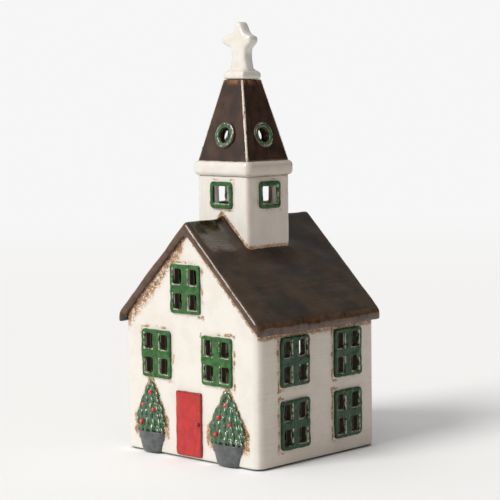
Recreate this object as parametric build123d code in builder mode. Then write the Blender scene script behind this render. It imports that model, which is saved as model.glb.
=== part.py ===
"""Ceramic Christmas village house: slip-cast walls, gable roof, tower and spire, with glazed relief
windows, door and potted trees, and a battery light unit held in the floor.
Millimetres, +Z up, front gable towards -Y, origin under the middle of the footprint."""
import os
from math import atan2, cos, hypot, sin, sqrt, tan

from build123d import *

os.makedirs("parts", exist_ok=True)

# Walls; heights are measured from the foot of the walls
wall_width = 115.6
wall_depth = 108.2
wall = 4.5
corner_radius = 6.0
foot_round = 1.5

# Felt pads under the floor
pad_thickness = 0.8
pad_diameter = 12.0
pad_inset = 13.0

# Roof
eave_height = 81.8
eave_edge = 4.4
ridge_height = 146.3
roof_thickness = 4.4
side_overhang = 3.7
front_overhang = 3.3
back_overhang = 2.6
ridge_round = 2.0
eave_round = 1.6
verge_round = 1.4

# Tower and its cornice
tower_width = 43.5
tower_depth = 38.4
tower_set_forward = 4.2
tower_corner = 2.5
tower_rise = 25.4
cornice_band = 9.1
cornice_reach = 2.4
cornice_round = 3.4

# Spire
spire_inset = 2.7
spire_height = 50.2
spire_top_width = 16.4
spire_top_depth = 17.4
spire_corner = 1.2
spire_cap = 8.0

# Finial block and star
finial_foot = 17.0
finial_bulge = 17.6
finial_bulge_height = 3.4
finial_top = 12.8
finial_height = 8.4
finial_corner = 1.8
star_top = 29.9
star_thickness = 7.8
star_arm_span = 19.6
star_arm_height = 17.0
star_notch_span = 7.2
star_notch_height = 20.4
star_waist_span = 10.2
star_waist_height = 10.4
star_foot_span = 12.6
star_point_round = 1.5
star_edge_round = 1.3

# Wall windows: a raised frame with four open panes
window_width = 25.2
window_height = 30.0
window_round = 2.0
pane_width = 7.6
pane_height = 9.8
pane_round = 1.2
pane_pitch_across = 13.2
pane_pitch_up = 15.2
relief = 1.3
relief_round = 0.35
front_window_inset = 31.5
front_window_shift = -1.7
side_window_inset = 29.8
side_window_shift = 2.0
upper_window_drop = 19.6
window_row_pitch = 38.2
gable_window_drop = 42.2

# Round opening in the back wall
back_opening_diameter = 46.0
back_opening_shift = 7.0
back_opening_drop = 19.8

# Tower windows and spire rings
tower_window_width = 18.2
tower_window_height = 16.7
tower_pane_width = 13.6
tower_pane_height = 11.0
tower_window_drop = 11.7
ring_outer = 17.0
ring_hole = 9.2
ring_level = 16.0

# Door and knob
door_width = 21.9
door_height = 40.0
door_sill = 1.3
door_round = 1.4
door_relief = 1.3
knob_radius = 1.0
knob_across = 8.6
knob_height = 22.0

# Potted trees, half round against the front wall
pot_height = 13.0
pot_rim_height = 5.0
pot_rim_overhang = 0.9
pot_taper = 2.6
pot_depth = 4.4
tree_window_gap = 1.7
tree_skirt = 3.8
tree_tuck = 2.2
tree_depth = 3.6
tree_tip = 1.0
left_tree_shift = 0.6
left_tree_half = 13.0
left_pot_half = 10.4
right_tree_shift = -1.8
right_tree_half = 15.4
right_pot_half = 11.2
bauble_radius = 1.5
# Each bauble's place on its tree's cone: share of the half width there, share of the cone's height
left_bauble_spots = [(0.19, 0.73), (-0.73, 0.43), (0.46, 0.36), (-0.52, 0.065)]
right_bauble_spots = [(0.0, 0.7), (-0.62, 0.42), (0.39, 0.3), (-0.52, 0.065)]

# Light unit: two AAA cells side by side in a round housing
battery_diameter = 10.5
battery_length = 44.5
battery_nub_diameter = 3.8
battery_nub_length = 0.8
battery_gap = 0.5
contact_space = 3.2
bay_wall = 1.5
housing_wall = 2.0
deck = 1.5
board_room = 4.4
slip = 0.15
sleeve = 1.2
lip = 0.8
lip_width = 4.0
flange_margin = 1.6
flange_thickness = 2.2
tray_gap = 1.5
tray_lift = 3.9
cover_thickness = 1.5
cover_spigot = 2.0

# Battery door, turning on stub pins
door_lap = 1.0
door_gap = 0.3
hinge_pin_diameter = 1.1
hinge_pin_length = 1.4
pin_clearance = 0.1
latch_width = 7.0
latch_length = 8.0
latch_slot = 0.8

# Slide switch: off, on and timer
switch_travel = 4.0
slide_gap = 0.2
carriage_length = 4.4
carriage_width = 3.4
carriage_height = 1.6
stem_length = 2.4
stem_width = 2.0
thumb_length = 4.0
thumb_width = 3.0
thumb_height = 0.5
switch_shell = 0.8
switch_back = 19.5
lead_diameter = 0.7
lead_pitch = 2.5

# Circuit board, its screws, contacts and lamp
board_thickness = 1.2
screw_spot = (13.0, 18.5)
screw_shank = 1.8
screw_length = 7.0
screw_head = 3.8
screw_head_height = 1.4
boss_diameter = 5.0
contact_thickness = 0.4
contact_width = 7.0
contact_tab = 2.5
solder_stand = 0.6
led_diameter = 5.0
led_flange = 5.8
led_flange_height = 1.0
led_height = 8.6

# Heights and faces worked out from the sizes above
foot_z = pad_thickness
house_y = (max(pot_depth, front_overhang) - back_overhang) / 2
eave_x = wall_width / 2 + side_overhang
ridge_z = foot_z + ridge_height
eave_z = foot_z + eave_height
roof_angle = atan2(ridge_height - eave_height - eave_edge, eave_x)
roof_drop = roof_thickness / cos(roof_angle)
front_y = house_y - wall_depth / 2
back_y = house_y + wall_depth / 2
tower_y = house_y - tower_set_forward
cornice_z = ridge_z + tower_rise
tower_window_z = cornice_z - tower_window_drop
spire_z = cornice_z + cornice_band
spire_width = tower_width + 2 * (cornice_reach - spire_inset)
spire_depth = tower_depth + 2 * (cornice_reach - spire_inset)
finial_z = spire_z + spire_height
star_z = finial_z + finial_height

# Where the windows, trees and back opening sit on the walls
upper_window_height = eave_height - upper_window_drop
lower_window_height = upper_window_height - window_row_pitch
gable_window_height = ridge_height - gable_window_drop
back_opening_height = eave_height - back_opening_drop
front_window_spread = wall_width / 2 - front_window_inset
side_window_spread = wall_depth / 2 - side_window_inset
tree_height = upper_window_height - window_height / 2 - tree_window_gap - pot_height
tree_bay_middle = (wall_width + door_width) / 4
left_tree_across = left_tree_shift - tree_bay_middle
right_tree_across = right_tree_shift + tree_bay_middle

SIDES = {
    "front": ((0, -1, 0), (1, 0, 0)),
    "right": ((1, 0, 0), (0, 1, 0)),
    "back": ((0, 1, 0), (-1, 0, 0)),
    "left": ((-1, 0, 0), (0, -1, 0)),
}


def face_plane(side, reach, centre_y, height, lean=0.0):
    """The plane of an upright or leaning face: reach from the middle, local x across it, local y up it."""
    outward, across = SIDES[side]
    normal = Vector(*outward) * cos(lean) + Vector(0, 0, 1) * sin(lean)
    return Plane(Vector(0, centre_y, height) + Vector(*outward) * reach, x_dir=across, z_dir=normal)


def spot(face, across, up):
    """A face's plane moved to a point on the face."""
    return Plane(face.from_local_coords((across, up, 0)), x_dir=face.x_dir, z_dir=face.z_dir)


def middle(height, centre_y=house_y):
    """The level plane at a height, centred on the house or on the tower."""
    return Plane((0, centre_y, height))


def save(piece, name):
    piece.part.label = name
    export_step(piece.part, f"parts/{name}.step")


walls = {
    "front": face_plane("front", wall_depth / 2, house_y, foot_z),
    "right": face_plane("right", wall_width / 2, house_y, foot_z),
    "back": face_plane("back", wall_depth / 2, house_y, foot_z),
    "left": face_plane("left", wall_width / 2, house_y, foot_z),
}

window_spots = {
    "front_gable_window": spot(walls["front"], front_window_shift, gable_window_height),
    "front_left_window": spot(walls["front"], front_window_shift - front_window_spread, upper_window_height),
    "front_right_window": spot(walls["front"], front_window_shift + front_window_spread, upper_window_height),
    "back_gable_window": spot(walls["back"], -front_window_shift, gable_window_height),
}
for level_name, level in (("upper", upper_window_height), ("lower", lower_window_height)):
    for end_name, end in (("front", -1), ("rear", 1)):
        along = side_window_shift + end * side_window_spread
        window_spots[f"right_{level_name}_{end_name}_window"] = spot(walls["right"], along, level)
        window_spots[f"left_{level_name}_{end_name}_window"] = spot(walls["left"], -along, level)

# Light unit sizes that follow from the cells
bay_length = battery_length + 2 * contact_space
bay_width = 2 * battery_diameter + 3 * battery_gap
bay_height = battery_diameter + 2 * battery_gap
housing_bore = hypot(bay_length, bay_width) / 2
housing_radius = housing_bore + housing_wall
opening_radius = housing_radius + sleeve + 2 * slip
flange_radius = opening_radius + lip_width + flange_margin
tray_radius = flange_radius + tray_gap
tray_z = foot_z + tray_lift
plate_z = tray_z - lip
flange_z = plate_z - flange_thickness
bay_top_z = plate_z + bay_height
deck_z = bay_top_z + deck
board_z = deck_z + board_thickness
rim_z = deck_z + board_room
battery_z = plate_z + battery_gap + battery_diameter / 2
battery_across = (battery_diameter + battery_gap) / 2

# Cast walls with the gables, a dished floor with the light's opening, and every pane cut through
with BuildPart() as house_walls:
    with BuildSketch(middle(foot_z)):
        RectangleRounded(wall_width, wall_depth, corner_radius)
    extrude(amount=ridge_height)
    fillet(house_walls.edges().group_by(Axis.Z)[0], foot_round)
    with BuildSketch(middle(foot_z + wall)):
        RectangleRounded(wall_width - 2 * wall, wall_depth - 2 * wall, max(corner_radius - wall, foot_round))
    extrude(amount=ridge_height, mode=Mode.SUBTRACT)
    with BuildSketch(middle(foot_z)):
        Circle(tray_radius + wall)
    extrude(amount=tray_lift + wall)
    with BuildSketch(middle(foot_z)):
        Circle(tray_radius)
    extrude(amount=tray_lift, mode=Mode.SUBTRACT)
    with BuildSketch(middle(foot_z)):
        Circle(opening_radius)
    extrude(amount=2 * (tray_lift + wall), mode=Mode.SUBTRACT)
    with BuildSketch(Plane.XZ.offset(-house_y)):
        with BuildLine():
            under_z = ridge_z - roof_drop
            side_z = under_z - wall_width * tan(roof_angle)
            Polyline(
                (-wall_width, side_z), (0, under_z), (wall_width, side_z),
                (wall_width, ridge_z + wall), (-wall_width, ridge_z + wall), close=True,
            )
        make_face()
    extrude(amount=wall_depth, both=True, mode=Mode.SUBTRACT)
    for place in window_spots.values():
        with BuildSketch(place):
            with GridLocations(pane_pitch_across, pane_pitch_up, 2, 2):
                RectangleRounded(pane_width, pane_height, pane_round)
        extrude(amount=-1.5 * wall, mode=Mode.SUBTRACT)
    with BuildSketch(spot(walls["back"], -back_opening_shift, back_opening_height)):
        Circle(back_opening_diameter / 2)
    extrude(amount=-1.5 * wall, mode=Mode.SUBTRACT)
save(house_walls, "house_walls")

# Gable roof slab with rounded ridge, eaves and verges, open under the tower
with BuildPart() as roof:
    with BuildSketch(Plane.XZ.offset(-(back_y + back_overhang))) as roof_section:
        with BuildLine():
            soffit_x = eave_x - (roof_drop - eave_edge) / tan(roof_angle)
            Polyline(
                (0, ridge_z), (eave_x, eave_z + eave_edge), (eave_x, eave_z), (soffit_x, eave_z),
                (0, ridge_z - roof_drop), (-soffit_x, eave_z), (-eave_x, eave_z), (-eave_x, eave_z + eave_edge),
                close=True,
            )
        make_face()
        fillet(roof_section.vertices().sort_by(Axis.Y)[-1], ridge_round)
        for eave_end in (0, -1):
            fillet(roof_section.vertices().group_by(Axis.X)[eave_end].sort_by(Axis.Y)[-1], eave_round)
    extrude(amount=wall_depth + front_overhang + back_overhang)
    slab_core_z = ridge_z - 0.6 * roof_drop
    end_edges = roof.faces().filter_by(Axis.Y).edges()
    verges = [edge for edge in end_edges if edge.center().Z + abs(edge.center().X) * tan(roof_angle) > slab_core_z]
    fillet(verges, verge_round)
    with BuildSketch(middle(eave_z, tower_y)):
        Rectangle(tower_width - 2 * wall, tower_depth - 2 * wall)
    extrude(amount=ridge_height, mode=Mode.SUBTRACT)
save(roof, "roof")

tower_faces = {
    side: face_plane(side, (tower_width if side in ("left", "right") else tower_depth) / 2, tower_y, tower_window_z)
    for side in SIDES
}

# Square tower astride the ridge, its foot cut to the roof
with BuildPart() as tower:
    with BuildSketch(middle(eave_z, tower_y)):
        RectangleRounded(tower_width, tower_depth, tower_corner)
        Rectangle(tower_width - 2 * wall, tower_depth - 2 * wall, mode=Mode.SUBTRACT)
    extrude(amount=cornice_z - eave_z)
    with BuildSketch(Plane.XZ.offset(-house_y)):
        with BuildLine():
            core_z = ridge_z - roof_drop / 2
            Polyline(
                (0, core_z), (tower_width, core_z - tower_width * tan(roof_angle)), (tower_width, 0),
                (-tower_width, 0), (-tower_width, core_z - tower_width * tan(roof_angle)), close=True,
            )
        make_face()
    extrude(amount=wall_depth, both=True, mode=Mode.SUBTRACT)
    add(roof.part, mode=Mode.SUBTRACT)
    for face in tower_faces.values():
        with BuildSketch(face):
            RectangleRounded(tower_pane_width, tower_pane_height, pane_round)
        extrude(amount=-1.5 * wall, mode=Mode.SUBTRACT)
save(tower, "tower")

# Rounded cornice band on top of the tower
with BuildPart() as cornice:
    with BuildSketch(middle(cornice_z, tower_y)):
        RectangleRounded(tower_width + 2 * cornice_reach, tower_depth + 2 * cornice_reach, tower_corner + cornice_reach)
    extrude(amount=cornice_band)
    fillet(cornice.faces().filter_by(Axis.Z).edges(), cornice_round)
    with BuildSketch(middle(cornice_z, tower_y)):
        Rectangle(tower_width - 2 * wall, tower_depth - 2 * wall)
    extrude(amount=cornice_band, mode=Mode.SUBTRACT)
save(cornice, "cornice")


def spire_half(base, top, height):
    """Half the spire's outer size at a height above its foot."""
    return (base + (top - base) * height / spire_height) / 2


lean_across = atan2(spire_width - spire_top_width, 2 * spire_height)
lean_along = atan2(spire_depth - spire_top_depth, 2 * spire_height)
spire_faces = {}
for side in SIDES:
    if side in ("left", "right"):
        ring_out = spire_half(spire_width, spire_top_width, ring_level)
        spire_faces[side] = face_plane(side, ring_out, tower_y, spire_z + ring_level, lean_across)
    else:
        ring_out = spire_half(spire_depth, spire_top_depth, ring_level)
        spire_faces[side] = face_plane(side, ring_out, tower_y, spire_z + ring_level, lean_along)

# Hollow four-sided spire, pierced by a round window in each face
with BuildPart() as spire:
    with BuildSketch(middle(spire_z, tower_y)):
        RectangleRounded(spire_width, spire_depth, spire_corner)
    with BuildSketch(middle(finial_z, tower_y)):
        RectangleRounded(spire_top_width, spire_top_depth, spire_corner)
    loft()
    cavity_height = spire_height - spire_cap
    with BuildSketch(middle(spire_z, tower_y)):
        Rectangle(spire_width - 2 * wall / cos(lean_across), spire_depth - 2 * wall / cos(lean_along))
    with BuildSketch(middle(spire_z + cavity_height, tower_y)):
        Rectangle(
            2 * (spire_half(spire_width, spire_top_width, cavity_height) - wall / cos(lean_across)),
            2 * (spire_half(spire_depth, spire_top_depth, cavity_height) - wall / cos(lean_along)),
        )
    loft(mode=Mode.SUBTRACT)
    for face in spire_faces.values():
        with BuildSketch(face):
            Circle(ring_hole / 2)
        extrude(amount=-1.5 * wall, mode=Mode.SUBTRACT)
save(spire, "spire")

# Flared finial block
with BuildPart() as finial:
    for height, width in ((0, finial_foot), (finial_bulge_height, finial_bulge), (finial_height, finial_top)):
        with BuildSketch(middle(finial_z + height, tower_y)):
            RectangleRounded(width, width, finial_corner)
    loft(ruled=True)
save(finial, "finial")

# Thick star standing on the block, flat to the front, its two lower points run together into a post
with BuildPart() as star:
    with BuildSketch(Plane.XZ.offset(-tower_y)) as star_face:
        with BuildLine():
            half_outline = [
                (star_notch_span / 2, star_notch_height),
                (star_arm_span / 2, star_arm_height),
                (star_waist_span / 2, star_waist_height),
                (star_foot_span / 2, 0),
            ]
            right_half = [(across, star_z + up) for across, up in half_outline]
            left_half = [(-across, height) for across, height in reversed(right_half)]
            Polyline((0, star_z + star_top), *right_half, *left_half, close=True)
        make_face()
        points = [point for point in star_face.vertices() if point.Y > star_z + star_edge_round]
        fillet(points, star_point_round)
    extrude(amount=star_thickness / 2, both=True)
    rims = star.faces().filter_by(Axis.Y).edges()
    fillet([rim for rim in rims if rim.center().Z > star_z + star_edge_round], star_edge_round)
save(star, "star")


def pierced_frame(name, place, width, height, pane_locations, pane_size):
    """A raised glazed frame lying on a wall face, open at its panes."""
    with BuildPart() as frame:
        with BuildSketch(place):
            RectangleRounded(width, height, window_round)
            with pane_locations:
                RectangleRounded(*pane_size, pane_round, mode=Mode.SUBTRACT)
        extrude(amount=relief)
        rim_face = frame.faces().sort_by(Axis(place.origin, place.z_dir))[-1]
        fillet(rim_face.edges(), relief_round)
    save(frame, name)


for name, place in window_spots.items():
    panes = GridLocations(pane_pitch_across, pane_pitch_up, 2, 2)
    pierced_frame(name, place, window_width, window_height, panes, (pane_width, pane_height))

for side, face in tower_faces.items():
    pane_size = (tower_pane_width, tower_pane_height)
    pierced_frame(f"tower_{side}_window", face, tower_window_width, tower_window_height, Locations((0, 0)), pane_size)

for side, face in spire_faces.items():
    with BuildPart() as ring:
        with BuildSketch(face):
            Circle(ring_outer / 2)
            Circle(ring_hole / 2, mode=Mode.SUBTRACT)
        extrude(amount=relief)
        fillet(ring.faces().sort_by(Axis(face.origin, face.z_dir))[-1].edges(), relief_round)
    save(ring, f"spire_{side}_ring")

# Red door panel and its knob
door_face = spot(walls["front"], 0, door_sill + door_height / 2)
with BuildPart() as door:
    with BuildSketch(door_face):
        RectangleRounded(door_width, door_height, door_round)
    extrude(amount=door_relief)
    fillet(door.faces().sort_by(Axis.Y)[0].edges(), relief_round)
save(door, "door")

with BuildPart() as door_knob:
    with Locations((knob_across, front_y - door_relief, foot_z + knob_height)):
        Sphere(knob_radius)
    split(bisect_by=Plane.XZ.offset(-front_y + door_relief), keep=Keep.TOP)
save(door_knob, "door_knob")


def half_round(across, rings):
    """A relief on the front wall, lofted through half ellipses given as (height, half width, reach)."""
    with BuildPart() as body:
        for height, half, reach in rings:
            with BuildSketch(Plane((across, front_y, foot_z + height))):
                Ellipse(half, reach)
                with Locations((0, reach)):
                    Rectangle(2 * half, 2 * reach, mode=Mode.SUBTRACT)
        loft(ruled=True)
    return body


def tree_rings(half):
    skirt_z = pot_height + tree_skirt
    return [
        (pot_height, half - tree_tuck, tree_depth - tree_tuck / 2),
        (skirt_z, half, tree_depth),
        (pot_height + tree_height, tree_tip, tree_tip),
    ]


def cone_spot(across, rings, aside, share):
    """A point on a tree's upper cone, from its share of the half width and of the cone's height."""
    (low, low_half, low_reach), (high, high_half, high_reach) = rings[1:]
    half = low_half + (high_half - low_half) * share
    reach = (low_reach + (high_reach - low_reach) * share) * sqrt(1 - aside ** 2)
    return across + aside * half, front_y - reach, foot_z + low + (high - low) * share


def bauble(tree, centre):
    """A ball half sunk in a tree's surface."""
    with BuildPart() as ball:
        with Locations(centre):
            Sphere(bauble_radius)
        add(tree.part, mode=Mode.SUBTRACT)
        split(bisect_by=walls["front"], keep=Keep.TOP)
    return ball


# Potted trees with their baubles
for side, across, half, pot_half, bauble_spots in (
    ("left", left_tree_across, left_tree_half, left_pot_half, left_bauble_spots),
    ("right", right_tree_across, right_tree_half, right_pot_half, right_bauble_spots),
):
    rim_foot = pot_height - pot_rim_height
    pot = half_round(across, [
        (0, pot_half - pot_taper, pot_depth - pot_rim_overhang - pot_taper / 2),
        (rim_foot, pot_half, pot_depth - pot_rim_overhang),
    ])
    pot_rim = half_round(across, [
        (rim_foot, pot_half + pot_rim_overhang, pot_depth),
        (pot_height, pot_half + pot_rim_overhang, pot_depth),
    ])
    with BuildPart() as whole_pot:
        add(pot.part)
        add(pot_rim.part)
    save(whole_pot, f"{side}_pot")
    rings = tree_rings(half)
    tree = half_round(across, rings)
    save(tree, f"{side}_tree")
    balls = [bauble(tree, cone_spot(across, rings, aside, share)) for aside, share in bauble_spots]
    with BuildPart() as baubles:
        for ball in balls:
            add(ball.part)
    save(baubles, f"{side}_baubles")

# Felt pads stuck under the floor near the corners
with BuildPart() as foot_pads:
    with BuildSketch(middle(0)):
        with GridLocations(wall_width - 2 * pad_inset, wall_depth - 2 * pad_inset, 2, 2):
            Circle(pad_diameter / 2)
    extrude(amount=pad_thickness)
save(foot_pads, "foot_pads")

# Rubber ring round the floor opening, which grips the light housing
with BuildPart() as grip_ring:
    with BuildSketch(middle(tray_z - lip)):
        Circle(opening_radius + lip_width)
    extrude(amount=lip)
    with BuildSketch(middle(tray_z)):
        Circle(opening_radius - slip)
    extrude(amount=wall)
    with BuildSketch(middle(tray_z + wall)):
        Circle(opening_radius + lip_width)
    extrude(amount=lip)
    with BuildSketch(middle(tray_z - lip)):
        Circle(housing_radius + slip)
    extrude(amount=wall + 2 * lip, mode=Mode.SUBTRACT)
save(grip_ring, "grip_ring")

door_plate_length = bay_length + 2 * door_lap
door_plate_width = bay_width + 2 * door_lap
door_plate = flange_thickness - door_gap
hinge_x = -(door_plate_length - door_plate) / 2
hinge_z = flange_z + door_plate / 2
switch_y = house_y - switch_back
screw_spots = [(screw_spot[0], -screw_spot[1]), (-screw_spot[0], screw_spot[1])]
tab_slot = contact_thickness + 2 * slide_gap
contact_x = (bay_length - contact_thickness) / 2 - slip
contact_spots = [(contact_x, battery_across), (contact_x, -battery_across)]

# Moulded housing: flange, battery bay under a deck, pockets beside the bay, and room for the board
with BuildPart() as light_housing:
    with BuildSketch(middle(flange_z)):
        Circle(flange_radius)
    extrude(amount=flange_thickness)
    with BuildSketch(middle(flange_z)):
        Circle(housing_radius)
    extrude(amount=rim_z - flange_z)
    with BuildSketch(middle(deck_z)):
        Circle(housing_bore)
    extrude(amount=board_room, mode=Mode.SUBTRACT)
    with BuildSketch(middle(plate_z)):
        Circle(housing_bore)
        Rectangle(bay_length + 2 * bay_wall, bay_width + 2 * bay_wall, mode=Mode.SUBTRACT)
    extrude(amount=deck_z - plate_z, mode=Mode.SUBTRACT)
    with BuildSketch(middle(plate_z)):
        with Locations(*screw_spots):
            Circle(boss_diameter / 2)
    extrude(amount=deck_z - plate_z)
    with BuildSketch(middle(board_z - screw_length - slip)):
        with Locations(*screw_spots):
            Circle(screw_shank / 2 + slip)
    extrude(amount=screw_length, mode=Mode.SUBTRACT)
    with BuildSketch(middle(flange_z)):
        Rectangle(door_plate_length + 2 * door_gap, door_plate_width + 2 * door_gap)
    extrude(amount=flange_thickness, mode=Mode.SUBTRACT)
    with BuildSketch(middle(plate_z)):
        Rectangle(bay_length, bay_width)
    extrude(amount=bay_height, mode=Mode.SUBTRACT)
    with BuildSketch(Plane((hinge_x, house_y, hinge_z), x_dir=(1, 0, 0), z_dir=(0, -1, 0))):
        Circle(hinge_pin_diameter / 2 + pin_clearance)
    extrude(amount=door_plate_width / 2 + hinge_pin_length + 2 * door_gap, both=True, mode=Mode.SUBTRACT)
    with BuildSketch(middle(bay_top_z)):
        with Locations(*contact_spots):
            Rectangle(tab_slot, contact_tab + 2 * slide_gap)
    extrude(amount=deck, mode=Mode.SUBTRACT)
    with BuildSketch(Plane((0, switch_y, flange_z))):
        Rectangle(stem_length + switch_travel + 2 * slide_gap, stem_width + 2 * slide_gap)
    extrude(amount=flange_thickness, mode=Mode.SUBTRACT)
save(light_housing, "light_housing")

# Battery door: a plate with a round hinge edge, stub pins and a sprung latch tongue
with BuildPart() as battery_door:
    with BuildSketch(Plane((0, house_y, hinge_z), x_dir=(1, 0, 0), z_dir=(0, -1, 0))):
        with Locations((door_plate / 4, 0)):
            Rectangle(door_plate_length - door_plate / 2, door_plate)
        with Locations((hinge_x, 0)):
            Circle(door_plate / 2)
    extrude(amount=door_plate_width / 2, both=True)
    with BuildSketch(Plane((hinge_x, house_y, hinge_z), x_dir=(1, 0, 0), z_dir=(0, -1, 0))):
        Circle(hinge_pin_diameter / 2)
    extrude(amount=door_plate_width / 2 + hinge_pin_length, both=True)
    with BuildSketch(middle(flange_z)):
        with Locations((door_plate_length / 2 - latch_length / 2, 0)):
            with GridLocations(0, latch_width, 1, 2):
                Rectangle(latch_length, latch_slot)
    extrude(amount=door_plate, mode=Mode.SUBTRACT)
save(battery_door, "battery_door")

# Slide switch shell over its slot, open underneath
carriage_room = (carriage_length + switch_travel + 2 * slide_gap, carriage_width + 2 * slide_gap)
switch_height = carriage_height + 2 * slide_gap + switch_shell
with BuildPart() as switch_shell_box:
    with BuildSketch(Plane((0, switch_y, plate_z))):
        Rectangle(carriage_room[0] + 2 * switch_shell, carriage_room[1] + 2 * switch_shell)
    extrude(amount=switch_height)
    with BuildSketch(Plane((0, switch_y, plate_z))):
        Rectangle(*carriage_room)
    extrude(amount=switch_height - switch_shell, mode=Mode.SUBTRACT)
save(switch_shell_box, "switch_body")

# Sliding knob: carriage in the shell, stem through the slot and thumb piece below
knob_place = (-switch_travel / 2, switch_y)
thumb_z = flange_z - slide_gap - thumb_height
with BuildPart() as switch_knob:
    with BuildSketch(Plane((*knob_place, thumb_z))):
        Rectangle(thumb_length, thumb_width)
    extrude(amount=thumb_height)
    with BuildSketch(Plane((*knob_place, thumb_z + thumb_height))):
        Rectangle(stem_length, stem_width)
    extrude(amount=flange_thickness + 2 * slide_gap)
    with BuildSketch(Plane((*knob_place, plate_z + slide_gap))):
        Rectangle(carriage_length, carriage_width)
    extrude(amount=carriage_height)
save(switch_knob, "switch_knob")

# Tinned wire leads from the switch up to the board
with BuildPart() as switch_leads:
    with BuildSketch(Plane((0, switch_y, plate_z + switch_height))):
        with GridLocations(lead_pitch, 0, 3, 1):
            Circle(lead_diameter / 2)
    extrude(amount=deck_z - plate_z - switch_height)
save(switch_leads, "switch_leads")

# Two cells, head to tail
with BuildPart() as batteries:
    for turn in (1, -1):
        can_length = battery_length - battery_nub_length
        can_start = Plane(
            (-turn * battery_length / 2, house_y + turn * battery_across, battery_z),
            x_dir=(0, 1, 0), z_dir=(turn, 0, 0),
        )
        with BuildSketch(can_start):
            Circle(battery_diameter / 2)
        extrude(amount=can_length)
        with BuildSketch(can_start.offset(can_length)):
            Circle(battery_nub_diameter / 2)
        extrude(amount=battery_nub_length)
save(batteries, "batteries")


def contact(name, end, rows, tabs):
    """Sprung strip contacts at one end of the bay: a plate, a bowed leaf for each cell and any solder tab."""
    plate_low = plate_z + battery_gap
    plate_high = bay_top_z - slip
    leaf_room = contact_space - slip - 1.5 * contact_thickness - slip
    rear = end * (contact_x - contact_thickness / 2)
    with BuildPart() as strip:
        for row in rows:
            with BuildSketch(Plane((end * contact_x, house_y + row, plate_low))):
                Rectangle(contact_thickness, contact_width)
            extrude(amount=plate_high - plate_low)
            with BuildSketch(Plane((0, house_y + row, 0), x_dir=(1, 0, 0), z_dir=(0, -1, 0))):
                with BuildLine():
                    ThreePointArc(
                        (rear, plate_low + contact_thickness),
                        (rear - end * (leaf_room - contact_thickness / 2), battery_z),
                        (rear, plate_high - contact_thickness),
                    )
                trace(line_width=contact_thickness)
            extrude(amount=contact_width / 2, both=True)
        if len(rows) > 1:
            with BuildSketch(Plane((end * contact_x, house_y, plate_low))):
                Rectangle(contact_thickness, rows[0] - rows[1])
            extrude(amount=battery_diameter / 2)
        if tabs:
            with BuildSketch(Plane((end * contact_x, house_y + rows[0], plate_high))):
                Rectangle(contact_thickness, contact_tab)
            extrude(amount=board_z + solder_stand - plate_high)
    save(strip, name)


contact("positive_contact", 1, [battery_across], True)
contact("negative_contact", 1, [-battery_across], True)
contact("link_contact", -1, [battery_across, -battery_across], False)

# Round circuit board on the deck and bosses
with BuildPart() as circuit_board:
    with BuildSketch(middle(deck_z)):
        Circle(housing_bore - slip)
        with Locations(*screw_spots):
            Circle(screw_shank / 2 + slip, mode=Mode.SUBTRACT)
        with Locations(*contact_spots):
            Rectangle(tab_slot, contact_tab + 2 * slide_gap, mode=Mode.SUBTRACT)
    extrude(amount=board_thickness)
save(circuit_board, "circuit_board")

with BuildPart() as board_screws:
    with BuildSketch(middle(board_z - screw_length)):
        with Locations(*screw_spots):
            Circle(screw_shank / 2)
    extrude(amount=screw_length)
    with BuildSketch(middle(board_z)):
        with Locations(*screw_spots):
            Circle(screw_head / 2)
    extrude(amount=screw_head_height)
save(board_screws, "board_screws")

# Warm white lamp standing on the board
with BuildPart() as led:
    with BuildSketch(middle(board_z)):
        Circle(led_flange / 2)
    extrude(amount=led_flange_height)
    with BuildSketch(middle(board_z)):
        Circle(led_diameter / 2)
    extrude(amount=led_height - led_diameter / 2)
    with Locations((0, house_y, board_z + led_height - led_diameter / 2)):
        Sphere(led_diameter / 2)
save(led, "led")

# Lid over the board, with a spigot in the housing and a hole for the lamp
with BuildPart() as light_cover:
    with BuildSketch(middle(rim_z)):
        Circle(housing_radius)
    extrude(amount=cover_thickness)
    with BuildSketch(middle(rim_z - cover_spigot)):
        Circle(housing_bore - slip)
        Circle(housing_bore - slip - bay_wall, mode=Mode.SUBTRACT)
    extrude(amount=cover_spigot)
    with BuildSketch(middle(rim_z)):
        Circle(led_diameter / 2 + door_gap)
    extrude(amount=cover_thickness, mode=Mode.SUBTRACT)
save(light_cover, "light_cover")
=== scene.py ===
"""Looks of a glazed ceramic village house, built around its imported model. Metres, +Z up, front towards -Y."""
import math

import bpy
from mathutils import Matrix, Vector


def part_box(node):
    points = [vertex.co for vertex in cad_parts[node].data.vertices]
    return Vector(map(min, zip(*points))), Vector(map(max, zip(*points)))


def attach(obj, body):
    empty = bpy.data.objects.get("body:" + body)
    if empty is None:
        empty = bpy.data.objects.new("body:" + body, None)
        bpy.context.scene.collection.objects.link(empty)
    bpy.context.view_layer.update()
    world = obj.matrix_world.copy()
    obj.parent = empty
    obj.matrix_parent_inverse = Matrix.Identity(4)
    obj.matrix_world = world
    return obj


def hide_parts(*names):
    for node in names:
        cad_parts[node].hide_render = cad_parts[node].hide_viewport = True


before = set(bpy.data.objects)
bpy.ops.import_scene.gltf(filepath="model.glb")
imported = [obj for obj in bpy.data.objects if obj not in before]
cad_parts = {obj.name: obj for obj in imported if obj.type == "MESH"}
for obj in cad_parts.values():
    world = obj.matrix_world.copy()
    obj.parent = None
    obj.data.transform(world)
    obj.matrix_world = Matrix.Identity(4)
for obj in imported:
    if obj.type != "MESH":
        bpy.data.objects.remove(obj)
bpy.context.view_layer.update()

# House walls: one slip-cast earthenware shell with two gables, a dished floor and a round lamp opening.
# The panes were cut through the soft clay. An ivory glaze covers the outside, and a
# rust-brown wash was rubbed into it around the windows, trees and roof edge. The flanks are painted a darker,
# warmer ivory as shade, and the panes' reveals are painted dark as shade.
MM = 0.001
WALL = 4.5 * MM
CORNER = 6.0 * MM
PANE = Vector((7.6, 0.0, 9.8)) * MM
PANE_PITCH = Vector((13.2, 0.0, 15.2)) * MM
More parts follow.
